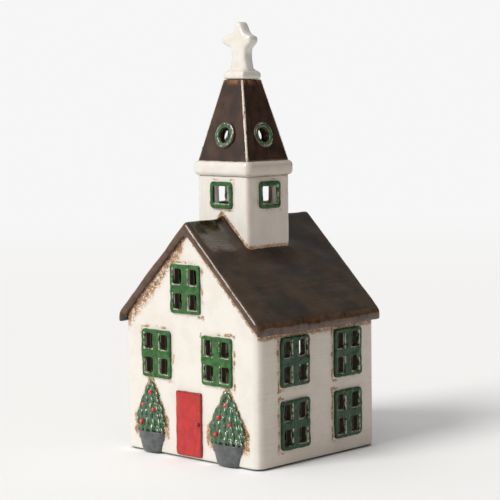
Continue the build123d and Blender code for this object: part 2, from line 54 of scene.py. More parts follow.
PANE_ROUND = 1.2 * MM
LAMP_OPENING = 31.35 * MM
TRAY = 38.45 * MM
TRAY_LIFT = 3.9 * MM
BACK_OPENING = 23.0 * MM
BACK_OPENING_PLACE = Vector((7.0, 0.0, 62.0)) * MM
ROOF_SLAB = 4.4 * MM
ROOF_BEDDING = 1.2 * MM
TOWER_OVER_RIDGE = 25.4 * MM
FOOT_RING = 6.4 * MM
FOOT_RING_Z = 0.2 * MM
FOOT_ROUND = 2.4 * MM
walls_low, walls_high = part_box("house_walls")
roof_low, roof_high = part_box("roof")
eave_edge_z = roof_low.z + ROOF_SLAB
ridge_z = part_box("tower")[1].z - TOWER_OVER_RIDGE
roof_slope = math.atan2(ridge_z - eave_edge_z, roof_high.x)
roof_drop = ROOF_SLAB / math.cos(roof_slope)
house_middle = (walls_low + walls_high) / 2
TURNS = {"front": 0.0, "right": math.pi / 2, "back": math.pi, "left": -math.pi / 2}
OUTWARD = {"front": (0, -1, 0), "right": (1, 0, 0), "back": (0, 1, 0), "left": (-1, 0, 0)}
WALL_WINDOWS = ["front_gable_window", "front_left_window", "front_right_window", "back_gable_window"]
for side in ("right", "left"):
    for row in ("upper", "lower"):
        for end in ("front", "rear"):
            WALL_WINDOWS.append(f"{side}_{row}_{end}_window")


def activate(piece):
    bpy.ops.object.select_all(action="DESELECT")
    piece.select_set(True)
    bpy.context.view_layer.objects.active = piece


def settle(piece):
    """Puts a piece's place and turn into its mesh."""
    activate(piece)
    bpy.ops.object.transform_apply(location=True, rotation=True, scale=True)
    return piece


def add_block(low, high):
    bpy.ops.object.select_all(action="DESELECT")
    low, high = Vector(low), Vector(high)
    bpy.ops.mesh.primitive_cube_add(size=1, location=(low + high) / 2, scale=high - low)
    return settle(bpy.context.object)


def add_round(centre, radius, length, axis="Z", top_radius=None, sides=64):
    """A cylinder or cone round a point, along an axis."""
    bpy.ops.object.select_all(action="DESELECT")
    turn = {"Z": (0, 0, 0), "Y": (math.pi / 2, 0, 0), "X": (0, math.pi / 2, 0)}[axis]
    bpy.ops.mesh.primitive_cone_add(
        vertices=sides, radius1=radius, radius2=radius if top_radius is None else top_radius,
        depth=length, location=centre, rotation=turn,
    )
    return settle(bpy.context.object)


def slice_off(piece, point, normal):
    """Cuts a piece at a plane, drops what lies on the normal's side and closes the cut."""
    activate(piece)
    bpy.ops.object.mode_set(mode="EDIT")
    bpy.ops.mesh.select_all(action="SELECT")
    bpy.ops.mesh.bisect(plane_co=point, plane_no=normal, use_fill=True, clear_outer=True)
    bpy.ops.object.mode_set(mode="OBJECT")


def round_edges(piece, width, segments, wanted):
    """Bevels the edges whose two ends are wanted."""
    activate(piece)
    bpy.ops.object.mode_set(mode="EDIT")
    bpy.ops.mesh.select_mode(type="EDGE")
    bpy.ops.mesh.select_all(action="DESELECT")
    bpy.ops.object.mode_set(mode="OBJECT")
    points = piece.data.vertices
    for edge in piece.data.edges:
        edge.select = wanted(*[points[end].co for end in edge.vertices])
    bpy.ops.object.mode_set(mode="EDIT")
    bpy.ops.mesh.bevel(offset=width, segments=segments, affect="EDGES")
    bpy.ops.object.mode_set(mode="OBJECT")


def apply_modifier(piece, kind, settings):
    activate(piece)
    modifier = piece.modifiers.new(kind.lower(), kind)
    for name, value in settings.items():
        setattr(modifier, name, value)
    bpy.ops.object.modifier_apply(modifier=modifier.name)


def combine(piece, other, operation):
    """Cuts another piece out of this one, or fuses it on."""
    apply_modifier(piece, "BOOLEAN", {"object": other, "operation": operation, "solver": "EXACT"})
    bpy.data.objects.remove(other)


def join(pieces):
    activate(pieces[0])
    for piece in pieces[1:]:
        piece.select_set(True)
    bpy.ops.object.join()
    return pieces[0]


def copy_to(piece, place, turn):
    """A copy with its own mesh, turned about the upright axis and set in place."""
    activate(piece)
    bpy.ops.object.duplicate()
    copy = bpy.context.object
    copy.rotation_euler = (0, 0, turn)
    copy.location = place
    return settle(copy)


def roof_cut(piece, lift):
    """Trims a piece to a plane parallel to the roof on each side, at a height over the ridge line."""
    for side in (-1, 1):
        normal = (side * math.sin(roof_slope), 0, math.cos(roof_slope))
        slice_off(piece, (0, 0, ridge_z + lift), normal)


def window_place(node, side):
    """The middle of a window's back, on the face that carries it."""
    low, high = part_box(node)
    middle, reach = (low + high) / 2, (high - low) / 2
    outward = Vector(OUTWARD[side])
    return middle - Vector((outward.x * reach.x, outward.y * reach.y, 0))


def pane_cutter():
    """Four blocks that cut a window's panes, with rounded corners, about the origin."""
    blocks = []
    for across in (-0.5, 0.5):
        for up in (-0.5, 0.5):
            middle = Vector((across * PANE_PITCH.x, 0, up * PANE_PITCH.z))
            half = Vector((PANE.x / 2, 1.5 * WALL, PANE.z / 2))
            blocks.append(add_block(middle - half, middle + half))
    cutter = join(blocks)
    round_edges(cutter, PANE_ROUND, 3, lambda a, b: abs(a.y - b.y) > WALL)
    return cutter


house = add_block((walls_low.x, walls_low.y, FOOT_RING_Z), (walls_high.x, walls_high.y, ridge_z))
round_edges(house, CORNER, 8, lambda a, b: abs(a.z - b.z) > CORNER)
round_edges(house, FOOT_ROUND, 4, lambda a, b: max(a.z, b.z) < walls_low.z + MM)
roof_cut(house, ROOF_BEDDING - roof_drop)
hollow = add_block(
    walls_low + Vector((WALL, WALL, WALL)), (walls_high.x - WALL, walls_high.y - WALL, ridge_z + WALL),
)
combine(house, hollow, "DIFFERENCE")
foot_recess = add_block(
    (walls_low.x + FOOT_RING, walls_low.y + FOOT_RING, -WALL),
    (walls_high.x - FOOT_RING, walls_high.y - FOOT_RING, walls_low.z),
)
combine(house, foot_recess, "DIFFERENCE")
lamp_middle = Vector((0, house_middle.y, walls_low.z))
floor_boss = add_round(lamp_middle + Vector((0, 0, TRAY_LIFT + WALL / 2)), TRAY + WALL, WALL)
combine(house, floor_boss, "UNION")
for radius, height in ((TRAY, TRAY_LIFT), (LAMP_OPENING, 3 * WALL)):
    combine(house, add_round(lamp_middle, radius, 2 * height), "DIFFERENCE")
one_window = pane_cutter()
cutters = []
for node in WALL_WINDOWS:
    side = node.split("_")[0]
    cutters.append(copy_to(one_window, window_place(node, side), TURNS[side]))
bpy.data.objects.remove(one_window)
combine(house, join(cutters), "DIFFERENCE")
back_middle = Vector((0, walls_high.y, walls_low.z)) + BACK_OPENING_PLACE
combine(house, add_round(back_middle, BACK_OPENING, 4 * WALL, "Y"), "DIFFERENCE")


class Tone:
    """A socket in a material's node tree; operators on it add Math nodes, in millimetres for lengths."""

    def __init__(self, tree, end=None):
        self.tree = tree
        self.end = end

    def node(self, kind, settings, inputs, output=0):
        made = self.tree.nodes.new(kind)
        for name, value in settings.items():
            setattr(made, name, value)
        for name, value in inputs.items():
            if isinstance(value, Tone):
                self.tree.links.new(value.end, made.inputs[name])
            else:
                made.inputs[name].default_value = value
        return Tone(self.tree, made.outputs[output])

    def math(self, operation, *others):
        inputs = dict(enumerate((self, *others)))
        return self.node("ShaderNodeMath", {"operation": operation}, inputs)

    def __add__(self, other):
        return self.math("ADD", other)

    __radd__ = __add__

    def __sub__(self, other):
        return self.math("SUBTRACT", other)

    def __rsub__(self, other):
        return self.math("MULTIPLY", -1.0).math("ADD", other)

    def __mul__(self, other):
        return self.math("MULTIPLY", other)

    __rmul__ = __mul__

    def __abs__(self):
        return self.math("ABSOLUTE")

    def least(self, other):
        return self.math("MINIMUM", other)

    def most(self, other):
        return self.math("MAXIMUM", other)

    def ramp(self, low, high):
        """0 at low and 1 at high, smooth between; high may be the smaller."""
        settings = {"interpolation_type": "SMOOTHSTEP"}
        return self.node("ShaderNodeMapRange", settings, {"Value": self, "From Min": low, "From Max": high})

    def split(self):
        made = self.node("ShaderNodeSeparateXYZ", {}, {"Vector": self}).end.node
        return [Tone(self.tree, output) for output in made.outputs]

    def grain(self, size, detail=2.0, roughness=0.5, shift=0.0):
        """Noise between 0 and 1 on this place, with grains of a size given along each axis."""
        per_mm = tuple(1.0 / length for length in size)
        moved = {0: self, 1: per_mm, 2: (shift, shift, shift)}
        scaled = self.node("ShaderNodeVectorMath", {"operation": "MULTIPLY_ADD"}, moved)
        noise = {"Vector": scaled, "Scale": 1.0, "Detail": detail, "Roughness": roughness}
        return self.node("ShaderNodeTexNoise", {}, noise)

    def tint(self, low, high):
        """A colour between two, by this value."""
        return self.node("ShaderNodeMix", {"data_type": "RGBA"}, {0: self, 6: low, 7: high}, 2)


def paint(red, green, blue):
    """A colour as it looks on a screen, 0 to 255, as the shader's own values."""
    shown = [channel / 255 for channel in (red, green, blue)]
    return (*[c / 12.92 if c <= 0.04045 else ((c + 0.055) / 1.055) ** 2.4 for c in shown], 1.0)


class Finish:
    """A material with its shader, and the place on the piece in millimetres."""

    def __init__(self, name, roughness, coat=0.0, shine=0.5):
        self.material = bpy.data.materials.new(name)
        self.material.use_nodes = True
        tree = self.material.node_tree
        self.shader = tree.nodes["Principled BSDF"]
        self.shader.inputs["Roughness"].default_value = roughness
        self.shader.inputs["Coat Weight"].default_value = coat
        self.shader.inputs["Coat Roughness"].default_value = 0.06
        self.shader.inputs["Specular IOR Level"].default_value = shine
        self.start = Tone(tree)
        place = self.start.node("ShaderNodeTexCoord", {}, {}, "Object")
        self.place = self.scale_up(place)

    def scale_up(self, place):
        return self.start.node("ShaderNodeVectorMath", {"operation": "SCALE"}, {0: place, "Scale": 1 / MM})

    def own_place(self):
        """The place on a copied piece before it was set on the house."""
        spot = self.start.node("ShaderNodeAttribute", {"attribute_name": "spot"}, {}, "Vector")
        return self.scale_up(spot)

    def feed(self, socket, tone):
        self.start.tree.links.new(tone.end, self.shader.inputs[socket])

    def bump(self, height, depth):
        """Relief in millimetres for a height between 0 and 1."""
        settings = {"Height": height, "Distance": depth * MM, "Strength": 1.0}
        self.feed("Normal", self.start.node("ShaderNodeBump", {}, settings))


def dress(piece, name, nodes, finish, body="house"):
    """Names a finished piece, gives it its glaze, and sets it in the place of its CAD nodes."""
    piece.name = name
    piece.data.name = name
    piece.data.materials.clear()
    piece.data.materials.append(finish.material)
    activate(piece)
    bpy.ops.object.shade_smooth_by_angle(angle=math.radians(40))
    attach(piece, body)
    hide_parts(*nodes)


def rust_wash(place, cover, clean):
    """Rusty specks over a golden haze on a clean glaze; more of them where cover is nearer 1."""
    specks = place.grain((0.6, 0.6, 0.6), 2.0, 0.6)
    smears = place.grain((2.6, 2.6, 2.6), 2.0, 0.6, 7.0)
    speckled = (specks * 0.75 + smears * 0.45 + cover * 0.5).ramp(1.0, 1.1) * cover.ramp(0.1, 0.4)
    haze = (smears + cover * 0.4).ramp(0.6, 0.95) * cover.ramp(0.2, 1.0) * 0.65
    shade = place.grain((1.6, 1.6, 1.6), 2.0, 0.5, 11.0).ramp(0.38, 0.62).tint(RUST, RUST_DARK)
    return (speckled * 0.9).tint(haze.tint(clean, GOLDEN), shade), speckled


IVORY = paint(217, 212, 204)
IVORY_SHADE = paint(212, 206, 196)
# Painted shade: the flank ivories colour the side walls, and the tower's and cornice's sides, darker and warmer
# than the front.
FLANK_IVORY_PAINTED_SHADE = paint(208, 197, 185)
FLANK_DEEPER_PAINTED_SHADE = paint(200, 187, 173)
GOLDEN = paint(202, 160, 104)
RUST = paint(146, 94, 46)
RUST_DARK = paint(88, 52, 26)
INSIDE_CLAY = paint(178, 158, 136)
# Painted shade: the panes' reveals within the wall's thickness are coloured dark.
REVEAL_PAINTED_SHADE = paint(70, 64, 50)

wall_glaze = Finish("ivory_wall_glaze", 0.2, 0.35)
place = wall_glaze.place
x, y, z = place.split()
over_x = (abs(x) - (walls_high.x - CORNER) / MM).most(0.0)
over_y = (abs(y - house_middle.y / MM) - (walls_high.y - house_middle.y - CORNER) / MM).most(0.0)
depth = (over_x * over_x + over_y * over_y).math("SQRT") - CORNER / MM
outside = depth.ramp(-0.7, -0.3)
front = y.ramp((walls_low.y + 2.5 * MM) / MM, (walls_low.y + MM) / MM)
flank = abs(x).ramp((walls_high.x - 2.5 * MM) / MM, (walls_high.x - MM) / MM)


def place_of(node):
    """The middle of a piece's box and half its size, in millimetres."""
    low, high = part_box(node)
    return (low + high) / 2 / MM, (high - low) / 2 / MM


gable_middle, frame_half = place_of("front_gable_window")
pair_middle = place_of("front_right_window")[0]
aside = x - gable_middle.x
pair_across = abs(aside) - (pair_middle.x - gable_middle.x)
pair_up = z - pair_middle.z
gable_up = z - gable_middle.z
pair_gap = (abs(pair_across) - frame_half.x).most(abs(pair_up) - frame_half.z)
gable_gap = (abs(aside) - frame_half.x).most(abs(gable_up) - frame_half.z)
pair_strong = pair_up.ramp(9.0, 14.0).most((pair_across * aside.math("SIGN")).ramp(8.0, 12.0))
gable_strong = gable_up.ramp(9.0, 14.0).most(aside.ramp(8.0, 12.0))
upper_rear = place_of("right_upper_rear_window")[0]
lower_front = place_of("right_lower_front_window")[0]
rows_middle = (upper_rear + lower_front) / 2
rows_reach = (upper_rear - lower_front) / 2
along = y - rows_middle.y
row_along = abs(along) - rows_reach.y
row_up = abs(z - rows_middle.z) - rows_reach.z
flank_gap = (abs(row_along) - frame_half.x).most(abs(row_up) - frame_half.z)
towards_front = (row_along * along.math("SIGN")).ramp(-8.0, -11.0)

SLANT = math.sqrt(0.5)
verge_gap = ((ridge_z - roof_drop) / MM - abs(x) - z) * SLANT
left_verge = verge_gap.ramp(14.0, 3.6) * x.ramp(2.0, -6.0)
right_verge = verge_gap.ramp(5.4, 2.2) * 0.9
wander = place.grain((6.0, 6.0, 6.0), 2.0, 0.5, 13.0) * 4.0 - 2.0
patch = place.grain((6.0, 6.0, 6.0), 2.0, 0.5, 17.0).ramp(0.38, 0.6) * 0.65 + 0.35
pair_line = (pair_gap + wander).ramp(4.4, 1.4) * pair_gap.ramp(0.2, 1.0) * (pair_strong * 0.36 + 0.64)
gable_line = (gable_gap + wander).ramp(4.4, 1.4) * gable_gap.ramp(0.2, 1.0) * (gable_strong * 0.36 + 0.64)
window_line = pair_line.most(gable_line) * patch
SKIRT_Z = 20.0
CROWN = 27.0
halos = []
for side in ("left", "right"):
    tree_middle, tree_reach = place_of(f"{side}_tree")
    above_skirt = (z - SKIRT_Z) * (1 / CROWN)
    spread = (1 - above_skirt * above_skirt.ramp(0.0, 0.3)) * tree_reach.x
    around = (abs(x - tree_middle.x) - spread + wander * 0.6).ramp(5.6, 1.2)
    halos.append(around * z.ramp(52.0, 46.0) * z.ramp(5.0, 12.0))
tree_cover = halos[0].most(halos[1])
door_middle, door_half = place_of("door")
door_gap = (abs(x - door_middle.x) - door_half.x).most(abs(z - door_middle.z) - door_half.z)
door_line = door_gap.ramp(1.5, 0.0) * 0.45
foot_line = z.ramp(4.0, 1.2) * 0.35
front_cover = left_verge.most(right_verge).most(window_line).most(tree_cover).most(door_line).most(foot_line)
flank_strength = (towards_front * 0.5 + 0.55) * (patch * 0.6 + 0.4)
flank_line = (flank_gap + wander).ramp(4.2, 1.6) * flank_gap.ramp(0.3, 1.1) * flank_strength
eave_band = ((eave_edge_z / MM - 7.0) - z).ramp(6.0, 0.8)
flank_cover = flank_line.most(eave_band).most(foot_line)
cover = front_cover * front + flank_cover * flank
brush = place.grain((26.0, 26.0, 0.55), 2.0, 0.6)
mottle = place.grain((14.0, 14.0, 14.0), 3.0, 0.55, 3.0)
stroked = flank * 0.4 + 0.08
strokes = (mottle * (1 - stroked) + brush * stroked).ramp(0.34, 0.58)
# Painted shade: the flanks take the darker, warmer flank ivories.
clean = flank.tint(strokes.tint(IVORY_SHADE, IVORY), strokes.tint(FLANK_DEEPER_PAINTED_SHADE, FLANK_IVORY_PAINTED_SHADE))
washed, rust = rust_wash(place, cover, clean)
# Painted shade in the panes' reveals; further in, the bare clay of the inside.
inside_clay_and_reveal_shade = depth.ramp(-3.6, -4.3).tint(REVEAL_PAINTED_SHADE, INSIDE_CLAY)
wall_glaze.feed("Base Color", outside.tint(inside_clay_and_reveal_shade, washed))
wall_glaze.feed("Roughness", (1 - outside) * 0.45 + rust * 0.2 + 0.2)
lumps = place.grain((3.5, 3.5, 3.5), 2.0, 0.5, 5.0)
wall_glaze.bump(brush * stroked * 0.9 + mottle * 0.9 + lumps * 0.35, 0.55)
dress(house, "house_walls_glazed", ["house_walls"], wall_glaze)

# Roof: a slab of the same clay pressed over the gables, thick and soft at its edges, with slip smoothed
# up against the tower's foot. Its dark brown gloss glaze was brushed along the ridge, paler at the edges.
ROOF_VOXEL = 0.85 * MM
EDGE_ROLL = 2.8 * MM
WALL_GAP = Vector((0.15, 0.15, 0.0)) * MM
EASE = Vector((0.25, 0.25, 0.0)) * MM
SLIP_STEPS = ((4.0, 1.0), (1.2, 2.4))
eaves_low = Vector((roof_low.x, roof_low.y, roof_low.z - EDGE_ROLL)) + EASE
eaves_high = Vector((roof_high.x, roof_high.y, ridge_z + 2 * MM)) - EASE
roof = add_block(eaves_low, eaves_high)
roof_cut(roof, 0.0)
under_edges = add_block(eaves_low - 9 * EASE - Vector((0, 0, 2 * WALL)), eaves_high + 9 * EASE)
roof_cut(under_edges, -roof_drop - EDGE_ROLL)
combine(roof, under_edges, "DIFFERENCE")
over_walls = add_block(walls_low - WALL_GAP, Vector((walls_high.x, walls_high.y, ridge_z)) + WALL_GAP)
roof_cut(over_walls, -roof_drop)
combine(roof, over_walls, "DIFFERENCE")
tower_low, tower_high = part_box("tower")
for out, rise in SLIP_STEPS:
    slip = Vector((out, out, 0.0)) * MM
    fillet_foot = Vector((tower_low.x, tower_low.y, ridge_z - 40 * MM))
    fillet = add_block(fillet_foot - slip, tower_high + slip)
    roof_cut(fillet, rise * MM)
    fillet_core = add_block(fillet_foot - 3 * slip, tower_high + 3 * slip)
    roof_cut(fillet_core, -roof_drop / 2)
    combine(fillet, fillet_core, "DIFFERENCE")
    combine(roof, fillet, "UNION")


def tower_shaft(low_z, high_z):
    """The open shaft inside the tower's slabs, between two heights."""
    return add_block(
        (tower_low.x + WALL, tower_low.y + WALL, low_z), (tower_high.x - WALL, tower_high.y - WALL, high_z),
    )


def soften(piece, voxel, passes):
    """Even small faces all over, with edges worn round as under a thick glaze."""
    apply_modifier(piece, "REMESH", {"mode": "VOXEL", "voxel_size": voxel})
    apply_modifier(piece, "SMOOTH", {"factor": 0.5, "iterations": passes})


def hand_shape(piece, size, depth):
    """Gentle unevenness of hand-finished clay, different at every place on the house."""
    lumps = bpy.data.textures.new("hand_lumps", "CLOUDS")
    lumps.noise_scale = size
    lumps.noise_depth = 1
    settings = {"texture": lumps, "texture_coords": "GLOBAL", "strength": depth, "mid_level": 0.5}
    apply_modifier(piece, "DISPLACE", settings)


combine(roof, tower_shaft(roof_low.z, tower_high.z), "DIFFERENCE")
soften(roof, ROOF_VOXEL, 90)
hand_shape(roof, 14 * MM, 0.9 * MM)
ROOF_DARK = paint(40, 28, 16)
ROOF_BROWN = paint(62, 45, 28)
ROOF_STREAK = paint(84, 68, 48)
ROOF_EDGE = paint(100, 74, 56)
roof_glaze = Finish("brown_roof_glaze", 0.2, 0.25, 0.35)
place = roof_glaze.place
x, y, _ = place.split()
strokes = place.grain((3.0, 34.0, 3.0), 3.0, 0.6)
fine_strokes = place.grain((1.1, 16.0, 1.1), 2.0, 0.6, 4.0)
patches = place.grain((22.0, 22.0, 22.0), 2.0, 0.5, 9.0)
body = (strokes * 0.35 + patches * 0.65).ramp(0.36, 0.62).tint(ROOF_DARK, ROOF_BROWN)
streaked = ((fine_strokes * 0.6 + strokes * 0.4).ramp(0.55, 0.72) * 0.3).tint(body, ROOF_STREAK)
roof_middle, roof_half = place_of("roof")
verge_edge = abs(y - roof_middle.y).ramp(roof_half.y - 2.4, roof_half.y - 0.8)
eave_rim = abs(x).ramp(roof_half.x - 2.4, roof_half.x - 0.9)
edge = verge_edge.most(eave_rim) * place.grain((5.0, 5.0, 5.0), 2.0, 0.5, 2.0).ramp(0.25, 0.6)
roof_glaze.feed("Base Color", (edge * 0.7).tint(streaked, ROOF_EDGE))
roof_glaze.feed("Roughness", strokes.ramp(0.3, 0.7) * 0.12 + 0.1)
roof_glaze.bump(strokes * 0.35 + fine_strokes * 0.1 + patches * 1.6, 0.4)
dress(roof, "roof_glazed", ["roof"], roof_glaze)

# Tower: a hollow square of clay slabs set astride the ridge and luted on with slip. Ivory glaze, brushed
# upwards, with an orange-rust wash caught where it meets the roof's brown.
TOWER_VOXEL = 0.7 * MM
TOWER_CORNER = 2.5 * MM
TOWER_PANE = Vector((13.6, 0.0, 11.0)) * MM
THROUGH = 60.0 * MM
tower_middle, tower_half = place_of("tower")
tower = add_block((tower_low.x, tower_low.y, roof_low.z), tower_high)
round_edges(tower, TOWER_CORNER, 4, lambda a, b: abs(a.z - b.z) > CORNER)
combine(tower, tower_shaft(roof_low.z - WALL, tower_high.z + WALL), "DIFFERENCE")
below_roof = add_block(
    (-roof_high.x, walls_low.y, roof_low.z - WALL), (roof_high.x, walls_high.y, ridge_z + WALL),
)
roof_cut(below_roof, -0.35 * roof_drop)
combine(tower, below_roof, "DIFFERENCE")
tower_window, tower_frame_half = place_of("tower_front_window")
pane_middle = Vector((0, tower_middle.y, tower_window.z)) * MM
pane_half = TOWER_PANE / 2
for reach in (Vector((pane_half.x, THROUGH, pane_half.z)), Vector((THROUGH, pane_half.x, pane_half.z))):
    combine(tower, add_block(pane_middle - reach, pane_middle + reach), "DIFFERENCE")
soften(tower, TOWER_VOXEL, 5)
hand_shape(tower, 10 * MM, 0.4 * MM)
tower_glaze = Finish("ivory_tower_glaze", 0.2, 0.35)
place = tower_glaze.place
x, y, z = place.split()
foot = (z + abs(x) * math.tan(roof_slope) - ridge_z / MM) * SLANT
foot_wash = foot.ramp(5.0, 2.2)
cornice_wash = z.ramp(tower_high.z / MM - 2.0, tower_high.z / MM) * 0.7
along = y - tower_middle.y
above_frame = abs(z - tower_window.z) - tower_frame_half.z
gap_x = (abs(x) - tower_frame_half.x).most(above_frame)
gap_y = (abs(along) - tower_frame_half.x).most(above_frame)
tower_edge = abs(x).ramp(tower_half.x - 2.0, tower_half.x - 0.8)
left_of_pane = along.ramp(-8.0, -9.5) * 0.3 + 0.7
flank_wash = gap_y.ramp(3.2, 1.4) * gap_y.ramp(0.2, 0.9) * left_of_pane
front_wash = gap_x.ramp(3.2, 1.4) * gap_x.ramp(0.2, 0.9) * 0.8
patch = place.grain((5.0, 5.0, 5.0), 2.0, 0.5, 17.0).ramp(0.38, 0.6) * 0.6 + 0.4
window_wash = (tower_edge * flank_wash + (1 - tower_edge) * front_wash) * patch
cover = foot_wash.most(cornice_wash).most(window_wash)
brush = place.grain((0.6, 0.6, 24.0), 2.0, 0.6)
mottle = place.grain((12.0, 12.0, 12.0), 3.0, 0.55, 3.0)
strokes = (mottle * 0.5 + brush * 0.5).ramp(0.36, 0.6)
# Painted shade: the tower's side faces take the darker flank ivories.
clean = tower_edge.tint(strokes.tint(IVORY_SHADE, IVORY), strokes.tint(FLANK_DEEPER_PAINTED_SHADE, FLANK_IVORY_PAINTED_SHADE))
inside_x = abs(x).ramp(tower_half.x - 3.6, tower_half.x - 4.3)
inside_y = abs(along).ramp(tower_half.y - 3.6, tower_half.y - 4.3)
inside = inside_x * inside_y
washed, rust = rust_wash(place, cover, clean)
tower_glaze.feed("Base Color", inside.tint(washed, INSIDE_CLAY))
tower_glaze.feed("Roughness", rust * 0.2 + inside * 0.4 + 0.2)
tower_glaze.bump(brush * 0.4 + mottle * 0.8, 0.4)
dress(tower, "tower_glazed", ["tower"], tower_glaze)

# Cornice: a rolled clay band on top of the tower, open in the middle, in the same ivory glaze
# with a thin brown line where the spire's glaze meets it.
cornice_low, cornice_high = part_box("cornice")
LAP = Vector((0.0, 0.0, 0.2)) * MM
cornice = add_block(cornice_low - LAP, cornice_high + LAP)
round_edges(cornice, 3.6 * MM, 3, lambda a, b: abs(a.z - b.z) > CORNER)
round_edges(cornice, 3.2 * MM, 5, lambda a, b: abs(a.z - b.z) < MM)
combine(cornice, tower_shaft(cornice_low.z - WALL, cornice_high.z + WALL), "DIFFERENCE")
soften(cornice, 0.6 * MM, 4)
hand_shape(cornice, 8 * MM, 0.5 * MM)
cornice_glaze = Finish("ivory_cornice_glaze", 0.18, 0.4)
place = cornice_glaze.place
x, _, z = place.split()
top_line = z.ramp(cornice_high.z / MM - 1.0, cornice_high.z / MM) * 0.8
low_line = z.ramp(cornice_low.z / MM + 1.0, cornice_low.z / MM - 0.2) * 0.7
cornice_side_shade = abs(x).ramp(cornice_high.x / MM - 3.0, cornice_high.x / MM - 1.0)
cover = top_line.most(low_line)
mottle = place.grain((9.0, 9.0, 9.0), 3.0, 0.55, 3.0)
# Painted shade: the cornice's sides are coloured darker.
clean = cornice_side_shade.tint(mottle.ramp(0.35, 0.65).tint(IVORY_SHADE, IVORY), FLANK_DEEPER_PAINTED_SHADE)
washed, rust = rust_wash(place, cover, clean)
cornice_glaze.feed("Base Color", washed)
cornice_glaze.feed("Roughness", rust * 0.2 + 0.18)
cornice_glaze.bump(mottle, 0.4)
dress(cornice, "cornice_glazed", ["cornice"], cornice_glaze)

# Spire: four clay slabs leaning together, hollow, each pierced by a round window. Dark brown gloss
# glaze, brushed upwards, with a golden wash under the finial. A pale broken line down the corners is thinned
# glaze and a painted highlight.
spire_low, spire_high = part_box("spire")
spire_size = spire_high - spire_low
SPIRE_TOP = Vector((16.4, 17.4, 0.0)) * MM
SPIRE_INSET = Vector((4.65, 4.6, 0.0)) * MM
CAP = 8.0 * MM
HOLE = 4.6 * MM


def add_taper(low, high, top_size):
    """A block whose top is drawn in to a smaller size."""
    taper = add_block(low, high)
    bpy.ops.object.mode_set(mode="EDIT")
    bpy.ops.mesh.select_mode(type="VERT")
    bpy.ops.mesh.select_all(action="DESELECT")
    bpy.ops.object.mode_set(mode="OBJECT")
    for point in taper.data.vertices:
        point.select = point.co.z > (low.z + high.z) / 2
    bpy.ops.object.mode_set(mode="EDIT")
    size = high - low
    bpy.ops.transform.resize(
        value=(top_size.x / size.x, top_size.y / size.y, 1), center_override=((low + high) / 2),
    )
    bpy.ops.object.mode_set(mode="OBJECT")
    return taper


def spire_lean(outward):
    """How far the spire's face on one side leans back from upright."""
    drawn_in = spire_size - SPIRE_TOP
    return math.atan2(abs(outward[0]) * drawn_in.x + abs(outward[1]) * drawn_in.y, 2 * spire_size.z)


spire = add_taper(spire_low, spire_high, SPIRE_TOP)
cap_share = 1 - CAP / spire_size.z
outer_top = spire_size * (1 - cap_share) + SPIRE_TOP * cap_share
core_high = spire_high - SPIRE_INSET - Vector((0, 0, CAP))
spire_core = add_taper(spire_low + SPIRE_INSET, core_high, outer_top - 2 * SPIRE_INSET)
slice_off(spire_core, (0, 0, spire_low.z + 0.01 * MM), (0, 0, -1))
combine(spire, spire_core, "DIFFERENCE")
for side, outward in OUTWARD.items():
    low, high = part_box(f"spire_{side}_ring")
    lean = spire_lean(outward)
    direction = Vector(outward) * math.cos(lean) + Vector((0, 0, math.sin(lean)))
    bpy.ops.object.select_all(action="DESELECT")
    bpy.ops.mesh.primitive_cylinder_add(
        vertices=48, radius=HOLE, depth=24 * MM, location=(low + high) / 2,
        rotation=direction.to_track_quat("Z", "Y").to_euler(),
    )
    combine(spire, settle(bpy.context.object), "DIFFERENCE")
soften(spire, 0.6 * MM, 5)
hand_shape(spire, 10 * MM, 0.4 * MM)
spire_glaze = Finish("brown_spire_glaze", 0.18, 0.3, 0.35)
place = spire_glaze.place
x, y, z = place.split()
strokes = place.grain((2.4, 2.4, 20.0), 3.0, 0.6)
patches = place.grain((9.0, 9.0, 12.0), 2.0, 0.5, 9.0)
body = (strokes * 0.25 + patches * 0.75).ramp(0.36, 0.64).tint(paint(46, 31, 23), paint(68, 46, 34))
share = (z - spire_low.z / MM) * (MM / spire_size.z)
drawn_in = (spire_size - SPIRE_TOP) / 2 / MM
half_x = spire_size.x / 2 / MM - share * drawn_in.x
half_y = spire_size.y / 2 / MM - share * drawn_in.y
corner_gap = (half_x - abs(x)) + (half_y - abs(y - tower_middle.y))
broken = place.grain((1.6, 1.6, 6.0), 3.0, 0.6, 6.0)
# Painted highlight, partly thinned glaze: a pale broken line down each corner.
corner = corner_gap.ramp(1.2, 0.8) * broken.ramp(0.34, 0.46)
golden = z.ramp(spire_high.z / MM - 4.5, spire_high.z / MM - 1.0) * broken.ramp(0.4, 0.6)
gilded = (golden * 0.6).tint(body, paint(150, 106, 62))
spire_glaze.feed("Base Color", (corner * 0.8).tint(gilded, paint(226, 214, 198)))
spire_glaze.feed("Roughness", strokes.ramp(0.3, 0.7) * 0.1 + 0.12)
spire_glaze.bump(strokes * 0.3 + patches * 0.8, 0.35)
dress(spire, "spire_glazed", ["spire"], spire_glaze)

# Finial and star: pressed from solid clay, a swelling square block and a thick soft star whose lower
# points run together into a post. Ivory glaze, bare of wash but for a faint line at the foot.
finial_low, finial_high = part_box("finial")
star_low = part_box("star")[0]
finial_middle = (finial_low + finial_high) / 2
FINIAL_FOOT = Vector((17.0, 17.0, 0.0)) * MM
BULGE = Vector((17.6, 17.6, 0.0)) * MM
SHOULDER = Vector((15.2, 14.6, 0.0)) * MM
BULGE_RISE = 3.4 * MM
SHOULDER_RISE = 5.4 * MM
NECK_FOOT = 2.0 * MM
NECKS = ((4.8, 14.2, 13.0), (6.8, 12.4, 10.6), (8.6, 10.8, 8.4))


def on_axis(size, low_rise, high_rise):
    """Two corners of a block on the finial's axis, between two heights over its foot."""
    foot = Vector((finial_middle.x, finial_middle.y, finial_low.z))
    return foot - size / 2 + Vector((0, 0, low_rise)), foot + size / 2 + Vector((0, 0, high_rise))


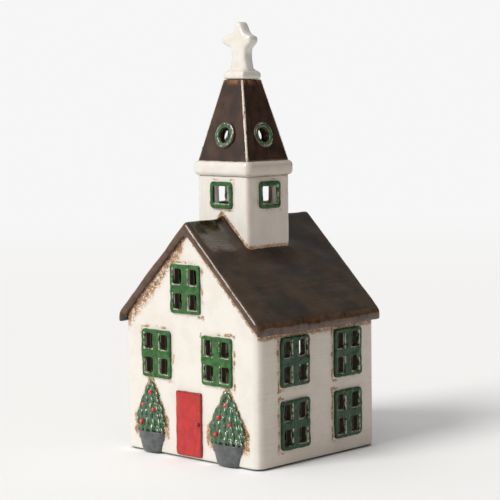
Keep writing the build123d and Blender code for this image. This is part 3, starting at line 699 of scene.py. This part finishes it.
finial = add_taper(*on_axis(FINIAL_FOOT, 0, BULGE_RISE), BULGE)
combine(finial, add_taper(*on_axis(BULGE, BULGE_RISE, SHOULDER_RISE), SHOULDER), "UNION")
for rise, neck_width, neck_depth in NECKS:
    neck = Vector((neck_width, neck_depth, 0.0)) * MM
    combine(finial, add_block(*on_axis(neck, NECK_FOOT, rise * MM)), "UNION")
soften(finial, 0.5 * MM, 50)
STAR_OUTLINE = [
    (-1.4, 27.4), (1.4, 27.4), (4.9, 20.2), (10.6, 17.8), (10.8, 14.2), (6.1, 10.4), (5.6, 6.0), (6.6, 0.5),
    (8.0, -5.0), (-8.0, -5.0), (-6.6, 0.5), (-5.6, 6.0), (-6.1, 10.4),
    (-14.4, 14.2), (-14.2, 17.8), (-4.9, 20.2),
]
STAR_THICKNESS = 8.6 * MM
bpy.ops.object.select_all(action="DESELECT")
bpy.ops.mesh.primitive_circle_add(vertices=len(STAR_OUTLINE), fill_type="NGON")
star = bpy.context.object
for point, (across, up) in zip(star.data.vertices, STAR_OUTLINE):
    point.co = (across * MM, finial_middle.y - STAR_THICKNESS / 2, star_low.z + up * MM)
activate(star)
bpy.ops.object.mode_set(mode="EDIT")
bpy.ops.mesh.select_all(action="SELECT")
bpy.ops.mesh.extrude_region_move(TRANSFORM_OT_translate={"value": (0, STAR_THICKNESS, 0)})
bpy.ops.mesh.select_all(action="SELECT")
bpy.ops.mesh.normals_make_consistent(inside=False)
bpy.ops.object.mode_set(mode="OBJECT")
soften(star, 0.55 * MM, 70)
hand_shape(star, 6 * MM, 0.4 * MM)
star_glaze = Finish("ivory_star_glaze", 0.16, 0.4)
place = star_glaze.place
z = place.split()[2]
mottle = place.grain((6.0, 6.0, 6.0), 3.0, 0.55, 3.0)
clean = mottle.ramp(0.35, 0.65).tint(IVORY_SHADE, IVORY)
foot_line = z.ramp(finial_low.z / MM + 1.4, finial_low.z / MM + 0.2) * 0.7
washed, rust = rust_wash(place, foot_line, clean)
star_glaze.feed("Base Color", washed)
star_glaze.feed("Roughness", mottle * 0.1 + 0.13)
star_glaze.bump(mottle, 0.35)
dress(finial, "finial_glazed", ["finial"], star_glaze)
dress(star, "star_glazed", ["star"], star_glaze)

# Wall windows: raised clay frames with two by two open panes, cast with the wall and painted with a
# thick green gloss glaze that pools in the corners. Pale rims at the panes are thinned glaze and a painted
# highlight, the frame's part sunk in the wall is painted dark as shade, and the flank windows' greens are
# darker as painted shade.
FRAME_SIZE = Vector((25.2, 0.0, 30.0)) * MM
FRAME_RELIEF = 1.6 * MM
FRAME_ROUND = 2.2 * MM
SUNK = 0.6 * MM
GABLE_GREENS = (paint(34, 70, 32), paint(60, 108, 54))
# Painted shade: the flank windows' greens are darker than the gable sides'.
FLANK_GREENS_PAINTED_SHADE = (paint(16, 46, 22), paint(34, 74, 38))


def mark_spots(piece):
    """Keeps each point's place on the piece as it was modelled, for its glaze."""
    spots = piece.data.attributes.new("spot", "FLOAT_VECTOR", "POINT")
    for point, spot in zip(piece.data.vertices, spots.data):
        spot.vector = point.co


def frame_blank(size):
    half = size / 2
    blank = add_block((-half.x, -FRAME_RELIEF, -half.z), (half.x, SUNK, half.z))
    round_edges(blank, FRAME_ROUND, 4, lambda a, b: abs(a.y - b.y) > MM)
    return blank


def frame_finish(name, pane_gap, thin_and_highlit_side, dark, light):
    """Green glaze for a frame, from the distance to the panes' edges; pale rims below and on one side are
    thinned glaze and a painted highlight, and the part sunk in the wall is painted dark as shade.
    """
    glaze = Finish(name, 0.16, 0.12, 0.25)
    place = glaze.place
    pool = place.grain((3.5, 3.5, 3.5), 3.0, 0.6)
    fleck = place.grain((0.9, 0.9, 0.9), 2.0, 0.6, 5.0)
    green = (pool * 0.7 + fleck * 0.3).ramp(0.34, 0.66).tint(dark, light)
    across, out, up = glaze.own_place().split()
    gap, aside, below = pane_gap(across, up)
    # Painted highlight, partly thinned glaze: pale rims on the panes' lower edges and on one side.
    thin_and_highlit = (aside * thin_and_highlit_side).ramp(2.6, 3.6).most(below.ramp(-3.4, -4.6))
    rim = gap.ramp(0.55, 0.1) * thin_and_highlit * place.grain((2.6, 2.6, 2.6), 2.0, 0.5, 8.0).ramp(0.36, 0.58)
    pale = (rim * 0.85).tint(green, paint(196, 198, 172))
    # Painted shade: the part of the frame sunk in the wall, inside the panes' reveals, is coloured dark.
    proud_of_reveal_shade = out.ramp(0.2, -0.8)
    glaze.feed("Base Color", proud_of_reveal_shade.tint(paint(34, 40, 28), pale))
    glaze.feed("Roughness", fleck * 0.1 + 0.08)
    glaze.bump(pool * 0.8 + fleck * 0.3, 0.35)
    return glaze


def four_pane_gap(across, up):
    """Distance to the nearest pane, and where on that pane: across and up from its middle."""
    middle, half = PANE_PITCH / 2 / MM, PANE / 2 / MM
    aside = (abs(across) - middle.x) * across.math("SIGN")
    below = (abs(up) - middle.z) * up.math("SIGN")
    return (abs(aside) - half.x).most(abs(below) - half.z), aside, below


window_blank = frame_blank(FRAME_SIZE)
combine(window_blank, pane_cutter(), "DIFFERENCE")
soften(window_blank, 0.36 * MM, 4)
mark_spots(window_blank)
gable_side_glaze = frame_finish("green_gable_window_glaze", four_pane_gap, -1.0, *GABLE_GREENS)
flank_window_shaded_glaze = frame_finish("green_flank_window_glaze", four_pane_gap, 1.0, *FLANK_GREENS_PAINTED_SHADE)
for node in WALL_WINDOWS:
    side = node.split("_")[0]
    window = copy_to(window_blank, window_place(node, side), TURNS[side])
    hand_shape(window, 5.5 * MM, 0.9 * MM)
    window_glaze = gable_side_glaze if side in ("front", "back") else flank_window_shaded_glaze
    dress(window, f"{node}_glazed", [node], window_glaze)
bpy.data.objects.remove(window_blank)

# Tower windows: smaller single-pane frames of the same clay and green glaze, one cast on each face of
# the tower around an opening cut through its slab.
TOWER_FRAME = Vector((18.2, 0.0, 16.7)) * MM
TOWER_GREENS = (paint(30, 64, 32), paint(54, 98, 50))


def one_pane_gap(across, up):
    """Distance to the pane, and where on it, measured as on a pane of the wall windows."""
    gap = (abs(across) - pane_half.x / MM).most(abs(up) - pane_half.z / MM)
    return gap, across * (PANE.x / TOWER_PANE.x), up * (PANE.z / TOWER_PANE.z)


tower_blank = frame_blank(TOWER_FRAME)
reach = Vector((pane_half.x, 2 * WALL, pane_half.z))
combine(tower_blank, add_block(-reach, reach), "DIFFERENCE")
soften(tower_blank, 0.36 * MM, 5)
mark_spots(tower_blank)
tower_window_glaze = frame_finish("green_tower_window_glaze", one_pane_gap, 1.0, *TOWER_GREENS)
for side in OUTWARD:
    node = f"tower_{side}_window"
    window = copy_to(tower_blank, window_place(node, side), TURNS[side])
    hand_shape(window, 4.5 * MM, 0.7 * MM)
    dress(window, f"{node}_glazed", [node], tower_window_glaze)
bpy.data.objects.remove(tower_blank)

# Spire rings: a rolled coil of clay pressed round each spire hole and luted on with slip. Green glaze, with
# a broken pale line where it thins over the coil's edge.
RING_MIDDLE = 6.5 * MM
RING_THICK = 1.7 * MM
RING_PRESSED = 0.55


def press(piece, share, place):
    """Flattens a piece towards the wall to a share of its depth, then moves it to its place."""
    activate(piece)
    bpy.ops.object.mode_set(mode="EDIT")
    bpy.ops.mesh.select_all(action="SELECT")
    bpy.ops.transform.resize(value=(1, share, 1), center_override=(0, 0, 0))
    bpy.ops.transform.translate(value=place)
    bpy.ops.object.mode_set(mode="OBJECT")


ring_glaze = Finish("green_ring_glaze", 0.14, 0.5)
place = ring_glaze.place
across, _, up = ring_glaze.own_place().split()
pool = place.grain((3.0, 3.0, 3.0), 3.0, 0.6)
radius = (across * across + up * up).math("SQRT") + pool * 0.8
green = pool.ramp(0.34, 0.66).tint(paint(36, 66, 38), paint(64, 102, 62))
rolled = radius.ramp(7.2, 7.7).tint(green, paint(62, 50, 36))
line = abs(radius - 7.3).ramp(0.4, 0.15) * place.grain((2.2, 2.2, 2.2), 2.0, 0.5, 8.0).ramp(0.42, 0.58)
ring_glaze.feed("Base Color", (line * 0.75).tint(rolled, paint(190, 186, 160)))
ring_glaze.feed("Roughness", pool * 0.1 + 0.08)
ring_glaze.bump(pool, 0.3)
for side, outward in OUTWARD.items():
    node = f"spire_{side}_ring"
    low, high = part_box(node)
    bpy.ops.object.select_all(action="DESELECT")
    bpy.ops.mesh.primitive_torus_add(
        major_segments=72, minor_segments=20, major_radius=RING_MIDDLE, minor_radius=RING_THICK,
        rotation=(math.pi / 2, 0, 0),
    )
    ring = settle(bpy.context.object)
    press(ring, RING_PRESSED, (0, 0, 0))
    mark_spots(ring)
    turned = Matrix.Rotation(TURNS[side], 4, "Z") @ Matrix.Rotation(-spire_lean(outward), 4, "X")
    ring.matrix_world = Matrix.Translation((low + high) / 2) @ turned
    settle(ring)
    hand_shape(ring, 4 * MM, 0.6 * MM)
    dress(ring, f"{node}_glazed", [node], ring_glaze)

# Door and knob: a raised clay panel with a ball pressed on for its knob. A thick red gloss glaze, darker
# where it runs down over the panel's edges to the wall.
door_low, door_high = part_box("door")
DOOR_RELIEF = 1.5 * MM
DOOR_ROUND = 1.4 * MM
KNOB_RADIUS = 1.25 * MM
KNOB_OUT = Vector((0.0, 0.7, 0.0)) * MM
STEM_BACK = Vector((0.0, 0.8, 0.0)) * MM


def add_ball(place, radius, segments=24, rings=16, scale=(1, 1, 1), turn=(0, 0, 0)):
    bpy.ops.object.select_all(action="DESELECT")
    bpy.ops.mesh.primitive_uv_sphere_add(
        segments=segments, ring_count=rings, radius=radius, location=place, scale=scale, rotation=turn,
    )
    return settle(bpy.context.object)


door = add_block(
    (door_low.x, door_high.y - DOOR_RELIEF, door_low.z), (door_high.x, door_high.y + SUNK, door_high.z),
)
round_edges(door, DOOR_ROUND, 3, lambda a, b: abs(a.y - b.y) > MM)
soften(door, 0.4 * MM, 6)
hand_shape(door, 6 * MM, 0.55 * MM)
door_glaze = Finish("red_door_glaze", 0.14, 0.6, 0.3)
place = door_glaze.place
x, _, z = place.split()
pool = place.grain((5.0, 5.0, 9.0), 3.0, 0.6)
red = pool.ramp(0.35, 0.65).tint(paint(160, 14, 14), paint(180, 26, 22))
inset = (door_half.x - abs(x - door_middle.x)).least(door_half.z - abs(z - door_middle.z))
worn = inset.ramp(1.5, 0.2) * place.grain((3.0, 3.0, 3.0), 2.0, 0.5, 4.0).ramp(0.2, 0.55)
door_glaze.feed("Base Color", (worn * 0.85).tint(red, paint(110, 26, 22)))
door_glaze.feed("Roughness", pool * 0.1 + 0.1)
door_glaze.bump(pool, 0.4)
dress(door, "door_glazed", ["door"], door_glaze)
knob_middle = place_of("door_knob")[0] * MM
knob_middle.y = door_low.y
knob = add_ball(knob_middle - KNOB_OUT, KNOB_RADIUS)
knob_stem = add_round(knob_middle - KNOB_OUT + STEM_BACK, 1.0 * MM, 1.2 * MM, "Y", 1.4 * MM, 24)
combine(knob, knob_stem, "UNION")
dress(knob, "door_knob_glazed", ["door_knob"], door_glaze)

# Pots: half-round flower pots cast on the front wall under the trees, tapered, with a rim band. Their grey
# satin glaze is clouded and finely flecked.
RIM_BAND = 5.0 * MM
RIM_FLARE = 0.1 * MM
POT_UNDER_RIM = 0.9 * MM
POT_TAPER = 3.5 * MM
pot_glaze = Finish("grey_pot_glaze", 0.3, 0.25)
place = pot_glaze.place
cloud = place.grain((4.0, 4.0, 4.0), 3.0, 0.6)
fleck = place.grain((0.6, 0.6, 0.6), 2.0, 0.5, 6.0)
grey = (cloud * 0.7 + fleck * 0.3).ramp(0.34, 0.66).tint(paint(60, 63, 66), paint(88, 90, 92))
pot_glaze.feed("Base Color", grey)
pot_glaze.feed("Roughness", fleck * 0.2 + 0.25)
pot_glaze.bump(cloud * 0.7 + fleck * 0.4, 0.35)
for side in ("left", "right"):
    pot_low, pot_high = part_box(f"{side}_pot")
    pot_half = (pot_high.x - pot_low.x) / 2
    pot_depth = pot_high.y - pot_low.y
    rim_z = pot_high.z - RIM_BAND
    pot = add_round(
        (0, 0, (pot_low.z + rim_z) / 2), pot_half - POT_TAPER, rim_z - pot_low.z,
        top_radius=pot_half - POT_UNDER_RIM,
    )
    band = add_round(
        (0, 0, (rim_z + pot_high.z) / 2 - RIM_FLARE), pot_half - RIM_FLARE, RIM_BAND + 2 * RIM_FLARE,
        top_radius=pot_half,
    )
    combine(pot, band, "UNION")
    press(pot, pot_depth / pot_half, ((pot_low.x + pot_high.x) / 2, pot_high.y, 0))
    slice_off(pot, (0, pot_high.y + SUNK, 0), (0, 1, 0))
    soften(pot, 0.4 * MM, 4)
    dress(pot, f"{side}_pot_glazed", [f"{side}_pot"], pot_glaze)

# Trees and baubles: cones of clay pressed on over the pots, their needles scored with slanting strokes
# and glazed dark glossy green; little clay balls, glazed red, hang on them.
LEAF = Vector((1.5, 1.1, 3.5)) * MM
LEAF_PITCH = 3.7 * MM
LEAF_STAND = Vector((1.2, 0.9, 0.0)) * MM
CORE_INSET = 1.5 * MM
TREE_ROWS = 7
TREE_PROFILE = [
    (0.0, 0.8), (0.1, 0.93), (0.25, 1.0), (0.44, 0.86), (0.59, 0.66), (0.78, 0.42), (0.92, 0.2), (1.0, 0.06),
]
BAUBLE = 1.45 * MM
SKIRT_LIFT = 3.8 * MM
TIP = 1.0 * MM
BAUBLES = {
    "left": [(0.19, 0.73), (-0.73, 0.43), (0.46, 0.36), (-0.52, 0.065)],
    "right": [(0.0, 0.7), (-0.62, 0.42), (0.39, 0.3), (-0.52, 0.065)],
}


def profile_at(share):
    """The tree's half width at a share of its height, as a share of its widest."""
    for (low, low_width), (high, high_width) in zip(TREE_PROFILE, TREE_PROFILE[1:]):
        if share <= high:
            return low_width + (high_width - low_width) * (share - low) / (high - low)
    return TREE_PROFILE[-1][1]


tree_glaze = Finish("green_tree_glaze", 0.14, 1.0)
place = tree_glaze.place
pool = place.grain((2.0, 2.0, 3.0), 3.0, 0.6)
fleck = place.grain((0.7, 0.7, 0.7), 2.0, 0.5, 6.0)
green = (pool * 0.6 + fleck * 0.4).ramp(0.36, 0.64).tint(paint(30, 60, 34), paint(60, 102, 58))
tree_glaze.feed("Base Color", green)
tree_glaze.feed("Roughness", fleck * 0.15 + 0.1)
tree_glaze.bump(pool, 0.3)
bauble_glaze = Finish("red_bauble_glaze", 0.12, 0.6)
place = bauble_glaze.place
pool = place.grain((1.2, 1.2, 1.2), 2.0, 0.5)
bauble_glaze.feed("Base Color", pool.ramp(0.35, 0.65).tint(paint(176, 26, 30), paint(216, 52, 48)))
bauble_glaze.feed("Roughness", pool * 0.12 + 0.08)
bauble_glaze.bump(pool, 0.2)
for side in ("left", "right"):
    tree_low, tree_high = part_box(f"{side}_tree")
    tree_half = (tree_high.x - tree_low.x) / 2
    tree_x = (tree_low.x + tree_high.x) / 2
    tree_depth = tree_high.y - tree_low.y
    leaf_depth = tree_depth - LEAF_STAND.y
    skirt_z = tree_low.z + SKIRT_LIFT
    tree_height = tree_high.z - tree_low.z
    core = tree_half - CORE_INSET
    tiers = []
    for (low, low_width), (high, high_width) in zip(TREE_PROFILE, TREE_PROFILE[1:]):
        tier_z = tree_low.z + (low + high) / 2 * tree_height
        tier_height = (high - low) * tree_height
        tiers.append(add_round((0, 0, tier_z), core * low_width, tier_height, top_radius=core * high_width))
    tree = join(tiers)
    press(tree, leaf_depth / tree_half, (tree_x, tree_high.y, 0))
    leaves = [tree]
    for row in range(TREE_ROWS):
        share = 0.06 + 0.84 * row / (TREE_ROWS - 1)
        row_half = (tree_half - LEAF_STAND.x) * profile_at(share)
        row_depth = leaf_depth * profile_at(share)
        count = max(2, round(2 * row_half / LEAF_PITCH))
        for step in range(count):
            aside = (step + 0.5 + 0.3 * (row % 2)) / (count + 0.3) * 2 - 1
            angle = aside * math.pi / 2 * 0.94
            spot = (
                tree_x + row_half * math.sin(angle), tree_high.y - row_depth * math.cos(angle),
                tree_low.z + share * tree_height,
            )
            tilt = -46 * aside - 20 - 14 * math.sin(3 * row + 2 * step)
            turn = (math.radians(-14), math.radians(tilt), 0)
            leaves.append(add_ball(spot, 1, 10, 8, LEAF, turn))
    tree = join(leaves)
    slice_off(tree, (0, tree_high.y + SUNK, 0), (0, 1, 0))
    soften(tree, 0.36 * MM, 3)
    dress(tree, f"{side}_tree_glazed", [f"{side}_tree"], tree_glaze)
    balls = []
    for aside, share in BAUBLES[side]:
        half = tree_half + (TIP - tree_half) * share
        out = (tree_depth + (TIP - tree_depth) * share) * math.sqrt(1 - aside ** 2)
        spot = (tree_x + aside * half, tree_high.y - out, skirt_z + (tree_high.z - skirt_z) * share)
        balls.append(add_ball(spot, BAUBLE))
    baubles = join(balls)
    hand_shape(baubles, 1.5 * MM, 0.25 * MM)
    slice_off(baubles, (0, tree_high.y + SUNK / 2, 0), (0, 1, 0))
    dress(baubles, f"{side}_baubles_glazed", [f"{side}_baubles"], bauble_glaze)



# Felt pads: punched discs of grey-brown wool felt, stuck under the floor near its corners, where the
# walls' foot ring all but hides them.
def repaint(nodes, finish):
    """Gives CAD nodes whose shape is right their real finish."""
    for node in nodes:
        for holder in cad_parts[node].material_slots:
            holder.material = finish.material


felt = Finish("grey_felt", 0.95)
fibres = felt.place.grain((0.25, 0.25, 0.6), 4.0, 0.7)
felt.feed("Base Color", fibres.ramp(0.3, 0.7).tint(paint(66, 60, 54), paint(112, 104, 94)))
felt.feed("Roughness", fibres * 0.1 + 0.88)
felt.bump(fibres, 0.3)
repaint(["foot_pads"], felt)

# Grip ring: a moulded black rubber ring, pressed into the floor opening to hold the lamp housing.
rubber = Finish("black_rubber", 0.6)
bloom = rubber.place.grain((3.0, 3.0, 3.0), 4.0, 0.6)
rubber.feed("Base Color", bloom.ramp(0.3, 0.7).tint(paint(20, 20, 20), paint(38, 37, 36)))
rubber.feed("Roughness", bloom * 0.3 + 0.45)
rubber.bump(rubber.place.grain((0.5, 0.5, 0.5), 2.0, 0.5), 0.05)
repaint(["grip_ring"], rubber)

# Lamp housing, battery door, cover and switch shell: injection moulded in black plastic with a fine
# spark-eroded texture; the housing pushes into the ring, the door turns on stub pins.
plastic = Finish("black_moulded_plastic", 0.42)
spark = plastic.place.grain((0.22, 0.22, 0.22), 3.0, 0.6)
handled = plastic.place.grain((9.0, 9.0, 9.0), 3.0, 0.5, 4.0)
plastic.feed("Base Color", handled.ramp(0.3, 0.7).tint(paint(24, 24, 25), paint(36, 36, 37)))
plastic.feed("Roughness", handled * 0.15 + spark * 0.15 + 0.3)
plastic.bump(spark, 0.05)
repaint(["light_housing", "battery_door", "light_cover", "switch_body"], plastic)

# Switch knob: a small pale grey moulded slider, a little grubby from fingers.
slider = Finish("pale_switch_plastic", 0.35)
grime = slider.place.grain((0.8, 0.8, 0.8), 3.0, 0.6)
slider.feed("Base Color", grime.ramp(0.4, 0.75).tint(paint(206, 204, 198), paint(160, 156, 148)))
slider.feed("Roughness", grime * 0.2 + 0.28)
slider.bump(grime, 0.04)
repaint(["switch_knob"], slider)

# Cells: steel cans in a printed blue sleeve, bare at the ends, lying head to tail in the bay.
cell = Finish("blue_cell_sleeve", 0.3, 0.3)
SLEEVE_HALF = 20.6
x = cell.place.split()[0]
bare = abs(x).ramp(SLEEVE_HALF, SLEEVE_HALF + 0.3)
scuff = cell.place.grain((6.0, 0.6, 0.6), 3.0, 0.6)
sleeve = scuff.ramp(0.35, 0.7).tint(paint(38, 62, 116), paint(52, 80, 138))
cell.feed("Base Color", bare.tint(sleeve, paint(178, 176, 170)))
cell.feed("Metallic", bare * 0.95)
cell.feed("Roughness", scuff * 0.15 + 0.22)
cell.bump(scuff, 0.03)
repaint(["batteries"], cell)

# Contacts, leads and screws: nickel-plated spring strip and tinned wire, bright with fine drawn lines.
nickel = Finish("nickel_plate", 0.28)
nickel.shader.inputs["Metallic"].default_value = 1.0
drawn = nickel.place.grain((0.15, 0.15, 4.0), 3.0, 0.6)
nickel.feed("Base Color", drawn.ramp(0.3, 0.7).tint(paint(168, 165, 158), paint(204, 201, 194)))
nickel.feed("Roughness", drawn * 0.2 + 0.2)
nickel.bump(drawn, 0.02)
repaint(["positive_contact", "negative_contact", "link_contact", "switch_leads", "board_screws"], nickel)

# Circuit board: a round of glass-fibre laminate under green solder mask, on the housing's deck.
board = Finish("green_solder_mask", 0.35)
weave = board.place.grain((0.4, 0.4, 0.4), 2.0, 0.5)
board.feed("Base Color", weave.ramp(0.3, 0.7).tint(paint(24, 74, 38), paint(34, 92, 48)))
board.feed("Roughness", weave * 0.2 + 0.26)
board.bump(weave, 0.03)
repaint(["circuit_board"], board)

# LED: a cast epoxy lens, slightly milky, yellowed by its phosphor in the middle.
lens = Finish("milky_led_resin", 0.12)
x, y, _ = lens.place.split()
along = y - house_middle.y / MM
core = (x * x + along * along).math("SQRT").ramp(2.4, 0.6)
cloud = lens.place.grain((1.0, 1.0, 1.0), 2.0, 0.5)
lens.feed("Base Color", (core * 0.7 + cloud * 0.2).tint(paint(232, 230, 220), paint(236, 214, 130)))
lens.feed("Roughness", cloud * 0.1 + 0.08)
lens.bump(cloud, 0.02)
repaint(["led"], lens)

# Studio: a plain pale floor that runs out to an even background, one broad soft light from above the front,
# and a fill all round that is brightest from the front left.
BACKDROP = paint(246, 246, 246)
FLOOR_SIZE = 12.0
FILL_LOW = 0.03
FILL_HIGH = 0.72
KEY = 2.42
TOWARDS_KEY = Vector((-0.14, -0.79, 0.6))
TOWARDS_FILL = (-0.5, -0.58, 0.64)
FLOOR_FADE = (700.0, 2000.0)
bpy.ops.object.select_all(action="DESELECT")
bpy.ops.mesh.primitive_plane_add(size=FLOOR_SIZE)
floor = bpy.context.object
floor.name = "studio_floor"
floor_paint = Finish("pale_floor", 0.9)
floor_paint.shader.inputs["Base Color"].default_value = BACKDROP
floor.data.materials.append(floor_paint.material)
ground = floor_paint.start
path = ground.node("ShaderNodeLightPath", {}, {}).end.node
seen, mirrored = [Tone(ground.tree, path.outputs[f"Is {kind} Ray"]) for kind in ("Camera", "Glossy")]
shown = seen.most(mirrored)
reach = ground.node("ShaderNodeVectorMath", {"operation": "LENGTH"}, {0: floor_paint.place}, "Value")
glow = ground.node("ShaderNodeEmission", {}, {"Color": BACKDROP, "Strength": 1.0})
far = reach.ramp(*FLOOR_FADE) * shown
lit = Tone(ground.tree, floor_paint.shader.outputs[0])
mixed = ground.node("ShaderNodeMixShader", {}, {0: far, 1: lit, 2: glow})
ground.tree.links.new(mixed.end, ground.tree.nodes["Material Output"].inputs["Surface"])

world = bpy.data.worlds.new("studio")
bpy.context.scene.world = world
world.use_nodes = True
air = Tone(world.node_tree)
seen = air.node("ShaderNodeLightPath", {}, {}).end.node
camera_ray = Tone(world.node_tree, seen.outputs["Is Camera Ray"])
direction = air.node("ShaderNodeTexCoord", {}, {}, "Generated")
facing = {0: direction, 1: TOWARDS_FILL}
towards = air.node("ShaderNodeVectorMath", {"operation": "DOT_PRODUCT"}, facing, "Value")
fill = towards.ramp(-0.8, 0.95) * (FILL_HIGH - FILL_LOW) + FILL_LOW
even = air.node("ShaderNodeBackground", {}, {"Color": (1.0, 0.99, 0.975, 1.0), "Strength": fill})
white = air.node("ShaderNodeBackground", {}, {"Color": BACKDROP, "Strength": 1.0})
sky = air.node("ShaderNodeMixShader", {}, {0: camera_ray, 1: even, 2: white})
world.node_tree.links.new(sky.end, world.node_tree.nodes["World Output"].inputs["Surface"])

bpy.ops.object.light_add(type="SUN")
key = bpy.context.object
key.name = "key_light"
key.data.energy = KEY
key.data.angle = math.radians(28)
key.data.color = (1.0, 0.985, 0.96)
key.rotation_euler = TOWARDS_KEY.to_track_quat("Z", "Y").to_euler()

# Camera: level with the upper windows, looking at the front right corner from a good metre away.
AZIMUTH = math.radians(43.71)
ELEVATION = math.radians(5.30)
ROLL = math.radians(-0.68)
DISTANCE = 1120.5 * MM
FOCAL_SHARE = 1782.4 / 500
SENSOR = 36.0
AIM_ASIDE = 0.64 * MM
AIM_RISE = 124.18 * MM
level = Vector((math.cos(AZIMUTH), math.sin(AZIMUTH), 0))
backward = Vector((
    math.sin(AZIMUTH) * math.cos(ELEVATION), -math.cos(AZIMUTH) * math.cos(ELEVATION), math.sin(ELEVATION),
))
upward = backward.cross(level)
aim = level * AIM_ASIDE + Vector((0, house_middle.y, walls_low.z + AIM_RISE))
across = level * math.cos(ROLL) + upward * math.sin(ROLL)
above = upward * math.cos(ROLL) - level * math.sin(ROLL)
bpy.ops.object.camera_add()
camera = bpy.context.object
camera.name = "photo_camera"
camera.data.sensor_width = SENSOR
camera.data.lens = SENSOR * FOCAL_SHARE
camera.data.clip_end = 50.0
turned = Matrix((across, above, backward)).transposed().to_4x4()
camera.matrix_world = Matrix.Translation(aim + backward * DISTANCE) @ turned
bpy.context.scene.camera = camera
bpy.context.scene.view_settings.view_transform = "Standard"
